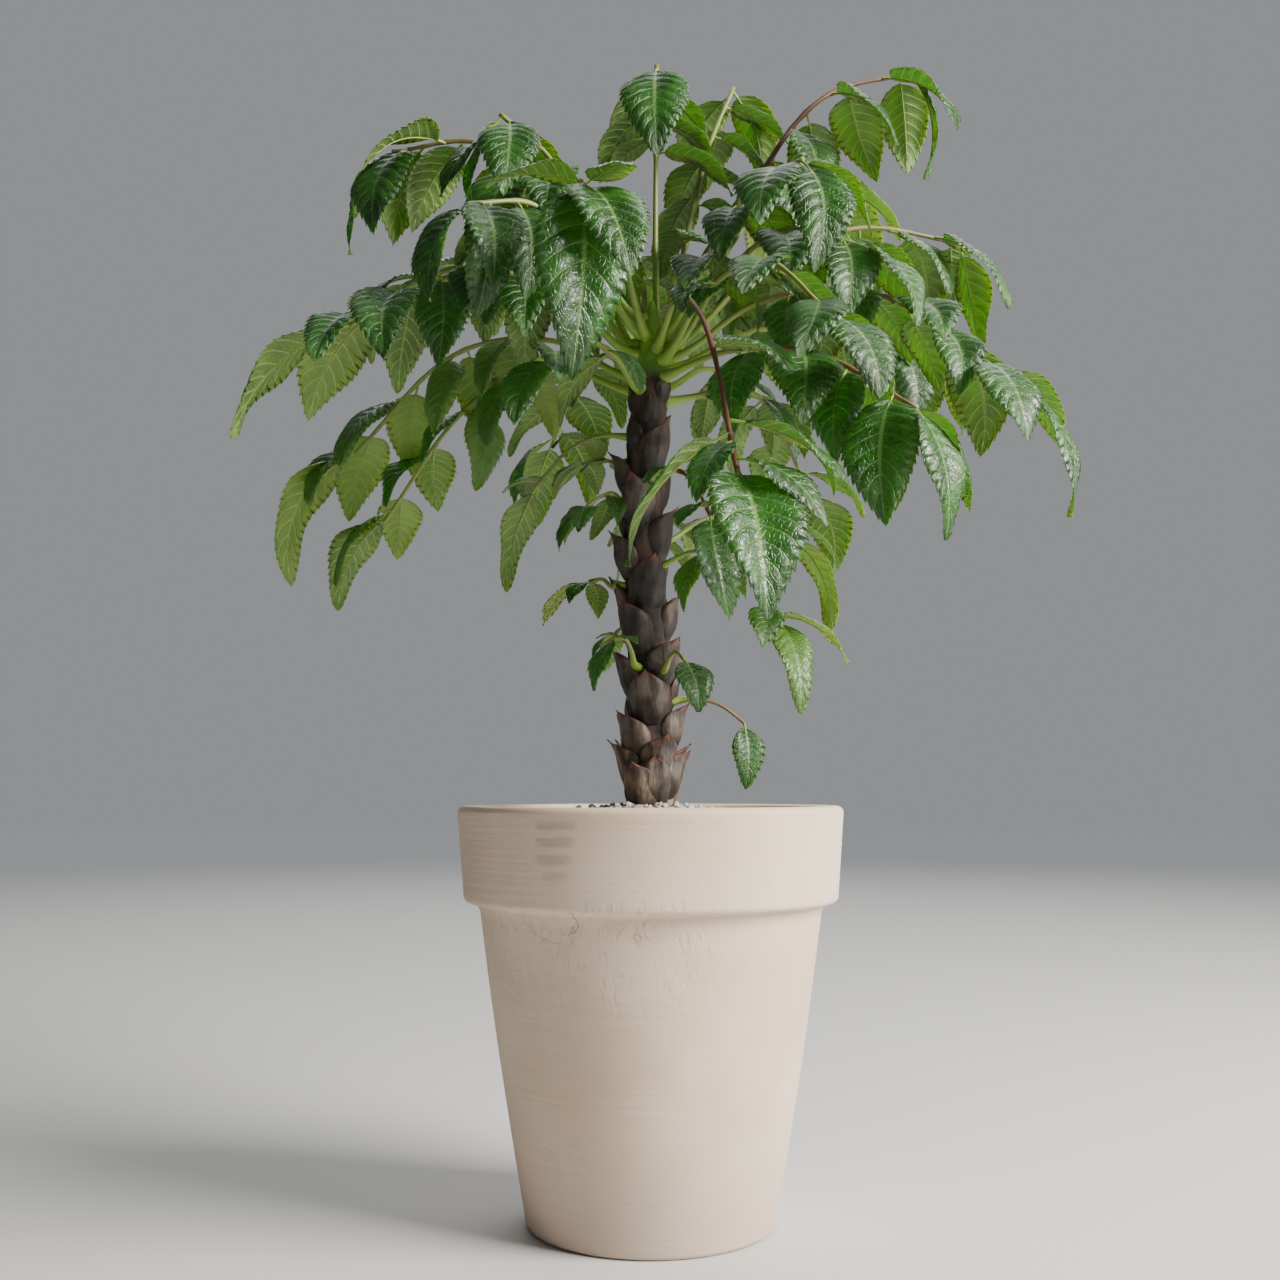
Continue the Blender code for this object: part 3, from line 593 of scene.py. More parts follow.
def makeVeinGroup():
    # side veins leave the midrib in pairs and run forward; a fine net fills the fields between
    group, given, out = newGroup("leafVeins", [
        ("Across", "NodeSocketFloat", 0.5), ("Along", "NodeSocketFloat", 0.5),
        ("Count", "NodeSocketFloat", 9.0), ("Lean", "NodeSocketFloat", 0.2)],
        [("Vein", "NodeSocketFloat"), ("Net", "NodeSocketFloat"), ("Middle", "NodeSocketFloat")])
    w = Wires(group)
    fromMiddle = w.awayFrom(w.times(given.outputs["Across"], 2.0), 1.0)
    drift = w.times(given.outputs["Lean"], w.math("POWER", fromMiddle, 1.25))
    turn = w.times(w.math("SUBTRACT", given.outputs["Along"], drift), given.outputs["Count"])
    vein = w.range(w.awayFrom(w.math("FRACT", turn), 0.5), 0.41, 0.49)
    fade = w.range(fromMiddle, 0.72, 1.0, 1.0, 0.25)
    w.links.new(w.times(vein, fade), out.inputs["Vein"])
    join = w.nodes.new("ShaderNodeCombineXYZ")
    w.put(join.inputs[0], w.times(given.outputs["Across"], 0.5))
    w.put(join.inputs[1], given.outputs["Along"])
    w.links.new(w.range(w.cells(join.outputs[0], 34.0), 0.0, 0.12, 1.0, 0.0), out.inputs["Net"])
    w.links.new(w.range(fromMiddle, 0.015, 0.075, 1.0, 0.0), out.inputs["Middle"])
    return group


leafLook = {
    "veins": 9.0, "lean": 0.2,
    "upper": dict(dark=(0.006, 0.034, 0.004), mid=(0.018, 0.084, 0.008), young=(0.090, 0.200, 0.022),
                  vein=(0.120, 0.230, 0.060), roughness=0.31, veinShare=0.45, bumpUp=-1.0),
    "under": dict(dark=(0.046, 0.105, 0.014), mid=(0.105, 0.195, 0.028), young=(0.32, 0.45, 0.095),
                  vein=(0.34, 0.43, 0.16), roughness=0.55, veinShare=0.75, bumpUp=1.0),
    # stalks, from the foot outward, and the flecks on them
    "green": ((0.24, 0.42, 0.04), (0.22, 0.30, 0.06)), "red": ((0.24, 0.36, 0.06), (0.13, 0.045, 0.035)),
    "fleck": (0.12, 0.10, 0.03),
}


def bladeMaterial(name, dark, mid, young, vein, roughness, veinShare, bumpUp):
    made, w = newMaterial(name, roughness, Subsurface_Weight=0.18, Subsurface_Scale=0.004,
                          Subsurface_Radius=(0.45, 1.0, 0.10), Specular_IOR_Level=0.55)
    across, rise = w.uv()
    veins = w.group(veinGroup, Across=across, Along=rise, Count=leafLook["veins"], Lean=leafLook["lean"])
    base = w.mix(w.range(w.noise(w.coords(), 55.0), 0.35, 0.68), dark, mid)
    base = w.mix(w.range(w.tone(), 0.45, 1.0), base, young)
    base = w.mix(w.times(veins["Net"], 0.22 * veinShare), base, vein)
    base = w.mix(w.times(veins["Vein"], veinShare), base, vein)
    base = w.mix(w.times(veins["Middle"], 0.9), base, vein)
    rough = w.range(w.noise(w.coords(), 180.0), 0.3, 0.7, roughness - 0.06, roughness + 0.1)
    height = w.math("ADD", w.times(veins["Vein"], bumpUp), w.times(veins["Net"], bumpUp * 0.45))
    w.skin(base, height, 0.5, 0.0006, rough)
    return made


def stalkMaterial():
    made, w = newMaterial("leafStalkSkin", 0.42, Subsurface_Weight=0.15, Subsurface_Scale=0.003,
                          Subsurface_Radius=(0.5, 0.8, 0.2))
    _, share = w.uv()
    green = w.mix(w.range(share, 0.0, 0.35), *leafLook["green"])
    red = w.mix(w.range(share, 0.05, 0.5), *leafLook["red"])
    base = w.mix(w.tone(), green, red)
    base = w.mix(w.range(w.noise(w.coords(), 300.0), 0.55, 0.75, 0.0, 0.4), base, leafLook["fleck"])
    w.skin(base, w.noise(w.coords(), 500.0, 2.0), 0.3, 0.0002)
    return made


veinGroup = makeVeinGroup()
upperSkin = bladeMaterial("leafUpperSide", **leafLook["upper"])
underSkin = bladeMaterial("leafUnderSide", **leafLook["under"])
stalkSkin = stalkMaterial()


barkLook = {
    "faceDark": (0.030, 0.021, 0.017), "facePale": (0.135, 0.108, 0.088), "cork": (0.36, 0.25, 0.155),
    "shadeAtFoot": (0.008, 0.005, 0.004), "burnt": (0.020, 0.012, 0.010), "tip": (0.155, 0.034, 0.020),
    "edge": (0.095, 0.027, 0.018), "fibre": (0.022, 0.015, 0.012),
    "core": ((0.012, 0.008, 0.007), (0.070, 0.042, 0.032)), "coreCork": (0.27, 0.18, 0.105),
    "bud": ((0.10, 0.26, 0.025), (0.20, 0.40, 0.045)),
}


def corkPatches(w, place, scale, low, high, top, foot):
    # patches of pale cork that fade out up the trunk, from the height foot to the height top
    return w.times(w.range(w.noise(place, scale, 4.0), low, high), w.range(w.axes(place)[2], top, foot))


def barkMaterial():
    # grey-brown faces with pale cork low down, some shells nearly black, red tips, and painted shade
    # darkening the foot of each shell
    made, w = newMaterial("oldLeafBases", 0.6)
    place = w.coords()
    across, rise = w.uv()
    cloud = w.range(w.noise(place, 90.0, 5.0), 0.34, 0.66)
    base = w.mix(cloud, barkLook["faceDark"], barkLook["facePale"])
    base = w.mix(w.range(w.tone(), 0.5, 0.8, 0.0, 0.85), base, barkLook["burnt"])
    cork = corkPatches(w, place, 48.0, 0.42, 0.58, 0.245, 0.195)
    base = w.mix(w.times(cork, 0.85), base, barkLook["cork"])
    # painted shade: the lower part of each shell turns near black towards its foot, where it is tucked in
    # under the flared shells around it
    base = w.mix(w.range(rise, 0.62, 0.10, 0.0, 0.96), base, barkLook["shadeAtFoot"])
    base = w.mix(w.range(rise, 0.82, 0.96, 0.0, 0.85), base, barkLook["tip"])
    base = w.mix(w.range(w.awayFrom(across, 0.5), 0.40, 0.5, 0.0, 0.6), base, barkLook["edge"])
    fibres = w.noise(place, 260.0, 4.0, (1, 1, 0.22))
    base = w.mix(w.range(fibres, 0.50, 0.66, 0.0, 0.6), base, barkLook["fibre"])
    w.skin(base, fibres, 0.9, 0.0014, w.range(fibres, 0.3, 0.7, 0.42, 0.8))
    return made


def coreMaterial():
    # dark streaked bark with cork low down and a green growing tip
    made, w = newMaterial("trunkCore", 0.75)
    place = w.coords()
    _, rise = w.uv()
    streaks = w.noise(place, 190.0, 5.0, (1, 1, 0.3))
    base = w.mix(w.range(streaks, 0.4, 0.65), *barkLook["core"])
    base = w.mix(corkPatches(w, place, 45.0, 0.48, 0.62, 0.225, 0.190), base, barkLook["coreCork"])
    green = w.mix(w.range(w.noise(place, 70.0), 0.35, 0.65), *barkLook["bud"])
    base = w.mix(w.range(rise, 0.86, 0.90), base, green)
    w.skin(base, w.noise(place, 210.0, 6.0), 0.8, 0.001)
    return made


leafletShape = {
    "teeth": 15, "halfColumns": 7, "toothDepth": 0.10, "toothForward": 0.45,
    "toothSteps": (0.0, 0.4, 0.75, 0.985), "usualLength": 0.055, "widen": 1.04, "leastHalf": 0.12 * mm,
    "thick": 0.34 * mm, "quilt": 0.014, "wave": 0.045, "waves": 1.6, "cup": 0.20, "tipCurl": 0.05,
    "fold": (5, 24), "bend": 0.10, "twist": 0.22,
    "ribSides": 6, "ribRadii": (0.75, 0.55, 0.16), "ribEnd": 0.86,
}


def leafletSurface(base, offset, width, rng):
    # Two parameters: along the midrib from 0 to 1 and across it from -1 to 1.
    # midrib: the chord plus an arch 4 s (1 - s); outline: a power of a sine, toothed by a sawtooth that
    # leans forward; the halves fold up from the midrib; fields between side veins bulge as a squared sine
    look = leafletShape
    foot = plant["bladeFoot"]
    length, way, up, side = bladeFrame(offset)
    teeth = max(8, int(round(look["teeth"] * min(1.2, length / look["usualLength"]))))
    phases = np.array(look["toothSteps"])
    steps = np.append((np.arange(teeth)[:, None] + phases).ravel() / teeth, 1.0)
    tooth = np.append(np.tile(phases, teeth), 0.0)[:, None]
    columns = np.linspace(-1, 1, 2 * look["halfColumns"] + 1)
    columns = np.sign(columns) * np.abs(columns) ** 0.8
    across, along = np.meshgrid(columns, steps)
    out = np.abs(across)
    forward = out ** 12 * tooth * look["toothForward"] / teeth * (along < 0.97)
    share = foot + (1 - foot) * np.minimum(along + forward, 1.0)
    outline = np.sin(math.pi * np.clip(along, 0, 1) ** 0.68) ** 0.78 * (1 - 0.25 * along ** 3)
    atEdge = np.clip((out - 0.8) * 5, 0, 1) * np.clip(along * 9, 0, 1)
    grow = look["widen"] * (1 + look["toothDepth"] * (tooth - 0.45) * atEdge)
    half = np.maximum(width / 2 * outline * grow, look["leastHalf"])
    fold = math.radians(rng.uniform(*look["fold"]))
    bend = rng.normal(0, look["bend"])
    phase = rng.uniform(0, 2 * math.pi)
    rise = half * (np.sqrt(across ** 2 + 0.012) - 0.11) * math.tan(fold) - half * look["cup"] * across ** 4
    drift = leafLook["lean"] * out ** 1.25
    field = 0.5 - 0.5 * np.cos(2 * math.pi * (along - drift) * leafLook["veins"])
    inner = np.clip(out * 4, 0, 1) * np.clip((1 - out) * 2.5, 0.1, 1)
    rise = rise + length * look["quilt"] * field * inner * np.clip(outline * 1.4, 0, 1)
    ripple = np.sin(2 * math.pi * look["waves"] * along + phase)
    rise = rise + length * look["wave"] * across * out * ripple * 0.5
    slope = plant["bladeArch"] * 4 * (1 - 2 * share) - 3 * look["tipCurl"] * share ** 2
    localUp = (up - way * slope[..., None]) / np.sqrt(1 + slope ** 2)[..., None]
    twist = (rng.normal(0, look["twist"]) * share)[..., None]
    outward = side * np.cos(twist) + localUp * np.sin(twist)
    above = localUp * np.cos(twist) - side * np.sin(twist)

    def midribAt(share, below=0.0):
        arch = plant["bladeArch"] * 4 * share * (1 - share) - look["tipCurl"] * share ** 3
        sway = length * bend * 2 * share * (1 - share)
        middle = base + offset * share[..., None] + up * (length * arch - below)[..., None]
        return middle + side * sway[..., None]

    top = midribAt(share) + outward * (half * across * math.cos(fold))[..., None] + above * rise[..., None]
    under = top - above * (look["thick"] * (0.35 + 0.65 * (1 - out ** 3)))[..., None]
    uv = np.stack([(across + 1) / 2, along], -1).reshape(-1, 2)
    # the midrib and foot: a thin tapering tube just under the sheet
    share = np.linspace(0, foot, 4, endpoint=False)
    share = np.append(share, foot + (1 - foot) * np.linspace(0, look["ribEnd"], 13))
    radius = np.interp(share, (0, foot, 1), look["ribRadii"]) * mm * (0.75 + 0.3 * length / 0.06)
    rib = midribAt(share, radius * np.clip((share - foot) * 12, 0, 1) * 0.9)
    ribSides = look["ribSides"]
    ribQuads, caps = tubeFaces(len(share), ribSides, 2 * across.size)
    ribUv = np.stack([np.full(len(share) * ribSides, 0.5), np.repeat(0.12 + 0.2 * share, ribSides)], -1)
    verts = np.concatenate([top.reshape(-1, 3), under.reshape(-1, 3), tubeGrid(rib, radius, ribSides)])
    return verts, [*sheetFaces(*across.shape), ribQuads], caps, np.concatenate([uv, uv, ribUv])


stalkShape = {"sides": 10, "perSpan": 12, "pulvinus": 0.6, "footLength": 9 * mm, "rootDepth": 2.5 * mm,
              "joint": 0.30, "jointLength": 2.6 * mm}


def stalkSurface(corners, route, rows, thick):
    # a tube whose radius swells at its own foot and, by a bell curve, at each leaflet
    share = np.linspace(0, 1, stalkShape["perSpan"] * (len(corners) - 1) + 1)
    line = smoothRoute(corners, stalkShape["perSpan"])
    steps = np.concatenate([[0], np.cumsum(np.linalg.norm(np.diff(line, axis=0), axis=1))])
    total = steps[-1]
    radii = thick[0] + (thick[1] - thick[0]) * share
    radii = radii * (1 + stalkShape["pulvinus"] * np.exp(-(steps / stalkShape["footLength"]) ** 2))
    for place, *_ in rows:
        radii = radii * (1 + stalkShape["joint"] * np.exp(-((steps - place * total)
                                                            / stalkShape["jointLength"]) ** 2))
    heading = np.array(corners[1]) - np.array(corners[0])
    heading[2] = 0
    heading /= np.linalg.norm(heading)
    line = np.vstack([line[:1] - heading * stalkShape["rootDepth"], line])    # it starts inside the trunk
    radii = np.append(radii[0], radii)
    return tubeGrid(line, radii, stalkShape["sides"], heading), len(line), np.append(0, steps / total)


def makeLeaf(name, corners, route, rows, thick, seed):
    rng = np.random.default_rng(seed)
    usual = rng.uniform(0.0, 0.35)
    young = paleLeaves.get(name, usual)
    verts, quads, caps, uvs, tones, kinds = [], [], [], [], [], []
    count = 0
    for _, base, offset, width in rows:
        blade, groups, ends, uv = leafletSurface(base, offset, width, rng)
        for group, kind in zip(groups, (0, 1, 1, 2)):    # upper skin, under skin, rim, midrib
            quads.append(group + count)
            kinds.append(np.full(len(group), kind))
        caps += [tuple(index + count for index in end) for end in ends]
        tones.append(np.full(len(blade), np.clip(young + rng.normal(0, 0.12), 0, 1)))
        verts.append(blade)
        uvs.append(uv)
        count += len(blade)
    tube, rings, share = stalkSurface(corners, route, rows, thick)
    sides = stalkShape["sides"]
    stalkQuads, ends = tubeFaces(rings, sides, count)
    quads.append(stalkQuads)
    caps += ends
    kinds.append(np.full(len(stalkQuads) + len(caps), 2))    # the caps come after all the quads
    verts.append(tube)
    uvs.append(np.stack([np.full(len(tube), 0.5), np.repeat(share, sides)], -1))
    tones.append(np.full(len(tube), redStalks.get(name, 0.25)))
    piece = makePiece(name + "_grown", np.concatenate(verts), np.concatenate(quads),
                      [upperSkin, underSkin, stalkSkin], np.concatenate(kinds), np.concatenate(uvs),
                      np.concatenate(tones), caps)
    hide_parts(name)


# how far a leaf is towards the young green, and a stalk towards red, from 0 to 1
paleLeaves = {
    "leaf_left_low": 0.62, "leaf_left_lowest": 0.6, "leaf_right_olive": 0.8, "leaf_right_pale": 0.55,
    "shoot_left_long": 0.55, "shoot_right_near": 0.7, "shoot_right_far": 0.7, "shoot_left_small": 0.5,
}
redStalks = {
    "leaf_front_stalk": 1.0, "leaf_right_droop": 0.85, "leaf_top_right": 0.9, "leaf_right_high": 0.6,
    "leaf_right_low": 0.8, "leaf_upper_left": 0.6, "shoot_front_right": 1.0, "shoot_right_lowest": 0.8,
    "leaf_left_high": 0.1, "leaf_left_low": 0.1, "leaf_left_lowest": 0.1,
}
for seed, (name, (corners, route, rows)) in enumerate(grown.items()):
    thick = plant["leafStalk"] if name in leafPlan else plant["shootStalk"]
    makeLeaf(name, corners, route, rows, thick, seed)
print("leaves made")


trunkLook = {"sides": 64, "rings": 220, "rough": 0.7 * mm, "footScales": 8, "neckScales": 8,
             "scaleRows": 22, "scaleColumns": 19, "widen": 1.22, "ridge": 0.35 * mm, "belly": 4.2 * mm,
             "dent": 0.45 * mm, "fineDent": 0.15 * mm, "scaleThick": 2.4 * mm, "scaleRoot": 0.9 * mm,
             "innerDrop": 0.6 * mm, "neckSize": 0.55, "coreInset": 0.15 * mm, "budFade": 12 * mm}


def makeCore():
    # a round column along the swaying centre line, its skin pushed out and in by noise
    z = np.linspace(soilTop - plant["rootDepth"] + 1 * mm, crown + plant["budHeight"], trunkLook["rings"])
    centre, radius = trunkCentre(z), trunkRadius(z)
    angle = 2 * math.pi * np.arange(trunkLook["sides"]) / trunkLook["sides"]
    ring = np.stack([np.cos(angle), np.sin(angle), np.zeros(len(angle))], -1)
    flat = (centre[:, None] + radius[:, None, None] * ring).reshape(-1, 3)
    bark = np.repeat(np.clip((crown - z) / trunkLook["budFade"], 0, 1), len(angle))
    push = (lumps(flat, 900, 1) * 0.5 + lumps(flat, 350, 2)) * trunkLook["rough"] * (0.15 + 0.85 * bark)
    verts = flat + np.tile(ring, (len(z), 1)) * (push - trunkLook["coreInset"])[:, None]
    rise = np.repeat((z - z[0]) / (z[-1] - z[0]), len(angle))
    uv = np.stack([np.tile(angle / (2 * math.pi), len(z)), rise], -1)
    quads, caps = tubeFaces(len(z), len(angle))
    return makePiece("trunk_core", verts, quads, [coreMaterial()], uv=uv, caps=caps)


def scaleSurface(angle, z, rng, size=1.0):
    # climb goes up the shell and turn round it; the shell hugs the core, narrows as a power of the climb
    # and flares outward as a power of it, with a belly, fine ridges and a rolled lip
    rows, columns = trunkLook["scaleRows"], trunkLook["scaleColumns"]
    climb, turn = np.meshgrid(np.linspace(0, 1, rows), np.linspace(-1, 1, columns), indexing="ij")
    out = np.abs(turn)
    tall = plant["scaleHeight"] * rng.uniform(0.96, 1.14) * size
    height = z + tall * climb * (1 - 0.10 * out * climb)
    core = np.interp(height, (soilTop, crown), (plant["trunkRadius"], plant["crownRadius"]))
    wide = trunkLook["widen"] * plant["scaleHalfAngle"] * (0.62 + 0.42 * np.sin(math.pi * 0.62 * climb))
    wide = np.maximum(wide * (1 - climb ** 3.4) ** 0.7 * size ** 0.5, 0.07)
    flare = plant["scaleFlare"] * rng.uniform(0.8, 1.15) * size ** 2
    around = angle + wide * turn + rng.normal(0, 0.08) * climb
    belly = trunkLook["belly"] * size * np.sin(math.pi * climb ** 0.8) * (1 - turn ** 2)
    rolled = 0.5 * climb ** 1.6 + 0.5 * climb ** 5
    reach = core - trunkLook["scaleRoot"] + belly + flare * rolled * (1 - 0.42 * out ** 1.6)
    thick = trunkLook["scaleThick"] * (1 - 0.55 * climb ** 2) * (1 - 0.45 * out ** 3)
    ridge = trunkLook["ridge"] * np.sin(turn * 9 + rng.uniform(0, 6)) * (0.3 + 0.7 * climb)
    skins = []
    for level, drop in ((reach + ridge, 0), (reach - thick, trunkLook["innerDrop"])):
        ring = np.stack([level * np.cos(around), level * np.sin(around), -drop * climb], -1)
        skins.append((trunkCentre(height) + ring).reshape(-1, 3))
    verts = np.concatenate(skins)
    dents = lumps(verts, 420, 5) * trunkLook["dent"] + lumps(verts, 1100, 6) * trunkLook["fineDent"]
    verts = verts + np.tile(ring.reshape(-1, 3) / level.reshape(-1, 1), (2, 1)) * dents[:, None]
    uv = np.stack([(turn + 1) / 2, climb], -1).reshape(-1, 2)
    return verts, np.concatenate(sheetFaces(rows, columns)), np.concatenate([uv, uv])


def makeScales():
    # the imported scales, smaller ones at the neck and a few half buried in the grit at the foot
    rng = np.random.default_rng(7)
    verts, quads, uvs, tones, count = [], [], [], [], 0
    low = [(plant["firstScale"] - plant["goldenAngle"] * (k + 1), gritTop - (7 - 3.5 * (k % 4)) * mm)
           for k in range(trunkLook["footScales"])]
    neck = [(plant["firstScale"] + plant["goldenAngle"] * (plant["scaleCount"] + k),
             crown - plant["scalesBelowCrown"] - plant["scaleHeight"] * 0.7 + 3.6 * k * mm)
            for k in range(trunkLook["neckScales"])]
    sized = [(angle, z, 1.0) for angle, z in low + scalePlaces]
    sized += [(angle, z, trunkLook["neckSize"]) for angle, z in neck]
    for angle, z, size in sized:
        shell, shellQuads, uv = scaleSurface(angle, z, rng, size)
        verts.append(shell)
        quads.append(shellQuads + count)
        uvs.append(uv)
        tones.append(np.full(len(shell), rng.uniform()))
        count += len(shell)
    return makePiece("old_leaf_bases", np.concatenate(verts), np.concatenate(quads), [barkMaterial()],
                     uv=np.concatenate(uvs), tone=np.concatenate(tones))


trunkPieces = [makeCore(), makeScales()]
for piece in trunkPieces:
    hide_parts("trunk")
print("trunk made")


potLook = {
    "sides": 220, "edge": 3 * mm, "neckRound": 2.6 * mm, "bulge": 0.9 * mm,
    "throwLine": 0.10 * mm, "throwPitch": 3.1 * mm, "rough": 0.16 * mm,
    "pale": (0.74, 0.605, 0.465), "warm": (0.66, 0.51, 0.375), "band": (0.68, 0.585, 0.48),
    "violet": (0.48, 0.385, 0.33), "speck": (0.30, 0.24, 0.20), "dot": (0.34, 0.27, 0.22),
    "smudge": (0.36, 0.305, 0.27), "crackle": (0.40, 0.33, 0.28), "hairline": (0.20, 0.15, 0.12),
}


def arcPoints(centre, radius, start, end, steps):
    angle = np.radians(np.linspace(start, end, steps + 1))
    return np.stack([centre[0] + radius * np.cos(angle), centre[1] + radius * np.sin(angle)], -1)


def innerRadius(z):
    share = z / (plant["potHeight"] - plant["lipHeight"])
    return plant["potFoot"] + (plant["potNeck"] - plant["potFoot"]) * share - plant["potWall"]


def makePot():
    # an outline of radius and height turned about the axis; throwing marks are fine waves up the height
    top, lip = plant["potHeight"], plant["potHeight"] - plant["lipHeight"]
    edge, neckRound = potLook["edge"], potLook["neckRound"]
    inside = innerRadius(top)
    wall = np.linspace(0, 1, 60)[1:-1, None]
    flank = (plant["potFoot"], edge) + wall * (plant["potNeck"] - plant["potFoot"], lip - edge - 2 * mm)
    flank[:, 0] += potLook["bulge"] * np.sin(math.pi * wall[:, 0])
    lipSide = (plant["lipFoot"], lip + edge) + np.linspace(0, 1, 30)[1:-1, None] * (
        plant["lipTop"] - plant["lipFoot"], plant["lipHeight"] - 2 * edge)
    inner = np.linspace(0, 1, 24)[:, None]
    innerWall = np.array((inside, top - edge)) + inner * (innerRadius(plant["potFloor"]) - inside,
                                                        plant["potFloor"] - top + edge)
    outline = np.concatenate([
        [(plant["drain"], 0.0), (plant["drain"] + 12 * mm, 0.0)],
        arcPoints((plant["potFoot"] - edge, edge), edge, -90, -8, 7), flank,
        arcPoints((plant["potNeck"] + edge, lip - neckRound), neckRound, 180, 95, 6),
        arcPoints((plant["lipFoot"] - edge, lip + edge), edge, -80, 0, 7), lipSide,
        arcPoints((plant["lipTop"] - edge, top - edge), edge, 0, 90, 7),
        arcPoints((inside + edge, top - edge), edge, 90, 172, 7), innerWall,
        [(plant["drain"], plant["potFloor"])]])
    sides = potLook["sides"]
    angle = 2 * math.pi * np.arange(sides) / sides
    radius, height = outline[:, 0], outline[:, 1]
    verts = np.stack([radius[:, None] * np.cos(angle), radius[:, None] * np.sin(angle),
                      np.repeat(height[:, None], sides, 1)], -1).reshape(-1, 3)
    out = verts * (1, 1, 0)
    out /= np.linalg.norm(out, axis=1)[:, None]
    smooth = len(innerWall) + 2    # the inner wall and the hole stay smooth, and so does the foot
    outer = np.repeat((np.arange(len(outline)) < len(outline) - smooth) & (height > 1 * mm), sides)
    marks = np.sin(verts[:, 2] * 2 * math.pi / potLook["throwPitch"] + lumps(verts, 30, 3) * 1.5)
    onLip = np.clip((verts[:, 2] - lip - edge) / (4 * mm), 0.15, 1)
    push = marks * potLook["throwLine"] * onLip + lumps(verts, 60, 4) * potLook["rough"]
    verts = verts + out * (push * outer)[:, None]
    quads = gridFaces(len(outline), sides, closeRows=True, closeColumns=True)
    return makePiece("clay_pot", verts, quads, [clayMaterial()])


def clayMaterial():
    made, w = newMaterial("unglazedClay", 0.82, Specular_IOR_Level=0.3)
    place = w.coords()
    x, y, z = w.axes(place)
    lip = plant["potHeight"] - plant["lipHeight"]
    base = w.mix(w.range(w.noise(place, 14.0, 5.0), 0.34, 0.66), potLook["warm"], potLook["pale"])
    bands = w.noise(place, 60.0, 3.0, (0.05, 0.05, 3.0))
    base = w.mix(w.range(bands, 0.45, 0.7, 0.0, 0.35), base, potLook["band"])
    base = w.mix(w.range(z, 0.05, 0.0, 0.0, 0.55), base, potLook["violet"])
    base = w.mix(w.range(w.noise(place, 420.0, 2.0), 0.72, 0.80, 0.0, 0.4), base, potLook["speck"])
    base = w.mix(w.range(w.cells(place, 60.0, "F1"), 0.06, 0.03, 0.0, 0.3), base, potLook["dot"])
    base = w.mix(w.range(w.noise(place, 9.0, 2.0), 0.45, 0.7, 0.0, 0.3), base, potLook["violet"])
    # a few faint stacked smudges on the front left of the lip, wider towards the top
    wander = w.times(w.math("SUBTRACT", w.noise(place, 130.0, 3.0), 0.5), 0.012)
    across = w.math("ABSOLUTE", w.math("ADD", w.math("ADD", x, 0.041), wander))
    widest = w.times(w.math("SUBTRACT", z, 0.150), 0.22)
    patch = w.times(w.range(w.math("SUBTRACT", across, widest), 0.005, -0.001), w.range(y, -0.02, -0.05),
                    w.range(z, 0.152, 0.166), w.range(z, 0.186, 0.181))
    wave = w.math("SINE", w.times(w.math("ADD", z, w.times(wander, 0.15)), 2 * math.pi / 0.0072))
    smudge = w.times(patch, w.range(wave, -0.9, 0.5), 0.5)
    base = w.mix(smudge, base, potLook["smudge"])
    # crackle on the front left under the lip, and a hairline where the lip begins
    chips = w.range(w.noise(place, 230.0, 5.0, (1, 1, 0.45)), 0.52, 0.60)
    crackled = w.times(chips, w.range(z, lip - 0.06, lip - 0.004), w.range(z, lip + 0.008, lip + 0.002),
                       w.range(x, 0.07, -0.01), w.range(y, 0.02, -0.03))
    base = w.mix(w.times(crackled, 0.12), base, potLook["crackle"])
    seam = w.range(w.awayFrom(w.noise(place, 45.0, 5.0), 0.5), 0.014, 0.003)
    hairline = w.times(seam, w.range(z, lip - 0.018, lip - 0.004), w.range(z, lip + 0.002, lip - 0.001),
                       w.range(x, 0.005, -0.012), w.range(x, -0.06, -0.04))
    base = w.mix(w.times(hairline, 0.6), base, potLook["hairline"])
    grain = w.times(w.noise(place, 900.0, 3.0), 0.25)
    height = w.math("ADD", grain, w.times(w.noise(place, 160.0, 2.0, (0.04, 0.04, 3.0)), 0.6))
    height = w.math("SUBTRACT", height, w.times(crackled, 0.7))
    height = w.math("SUBTRACT", height, w.times(hairline, 1.5))
    w.skin(base, height, 0.45, 0.0006)
    return made


pot = makePot()
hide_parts("pot")
print("pot made")


gritLook = {
    "stones": 620, "size": (1.6 * mm, 3.6 * mm), "rings": 5, "sides": 7, "rimGap": 4 * mm, "trunkGap": 3 * mm,
    "stone": ((0.86, 0.83, 0.77), (0.50, 0.42, 0.34)), "pit": (0.36, 0.31, 0.26),
    "soil": ((0.018, 0.012, 0.009), (0.10, 0.068, 0.045)), "bed": ((0.22, 0.17, 0.13), (0.62, 0.56, 0.48)),
}


def soilMaterial(name, dark, light):
    made, w = newMaterial(name, 0.95)
    place = w.coords()
    base = w.mix(w.range(w.noise(place, 320.0, 5.0), 0.38, 0.62), dark, light)
    w.skin(base, w.noise(place, 500.0, 6.0), 0.9, 0.0015)
    return made


def pumiceMaterial():
    made, w = newMaterial("pumiceStone", 0.9)
    base = w.mix(w.tone(), *gritLook["stone"])
    pits = w.range(w.noise(w.coords(), 900.0, 4.0), 0.35, 0.6)
    base = w.mix(w.times(w.math("SUBTRACT", 1.0, pits), 0.45), base, gritLook["pit"])
    w.skin(base, pits, 0.8, 0.0008)
    return made


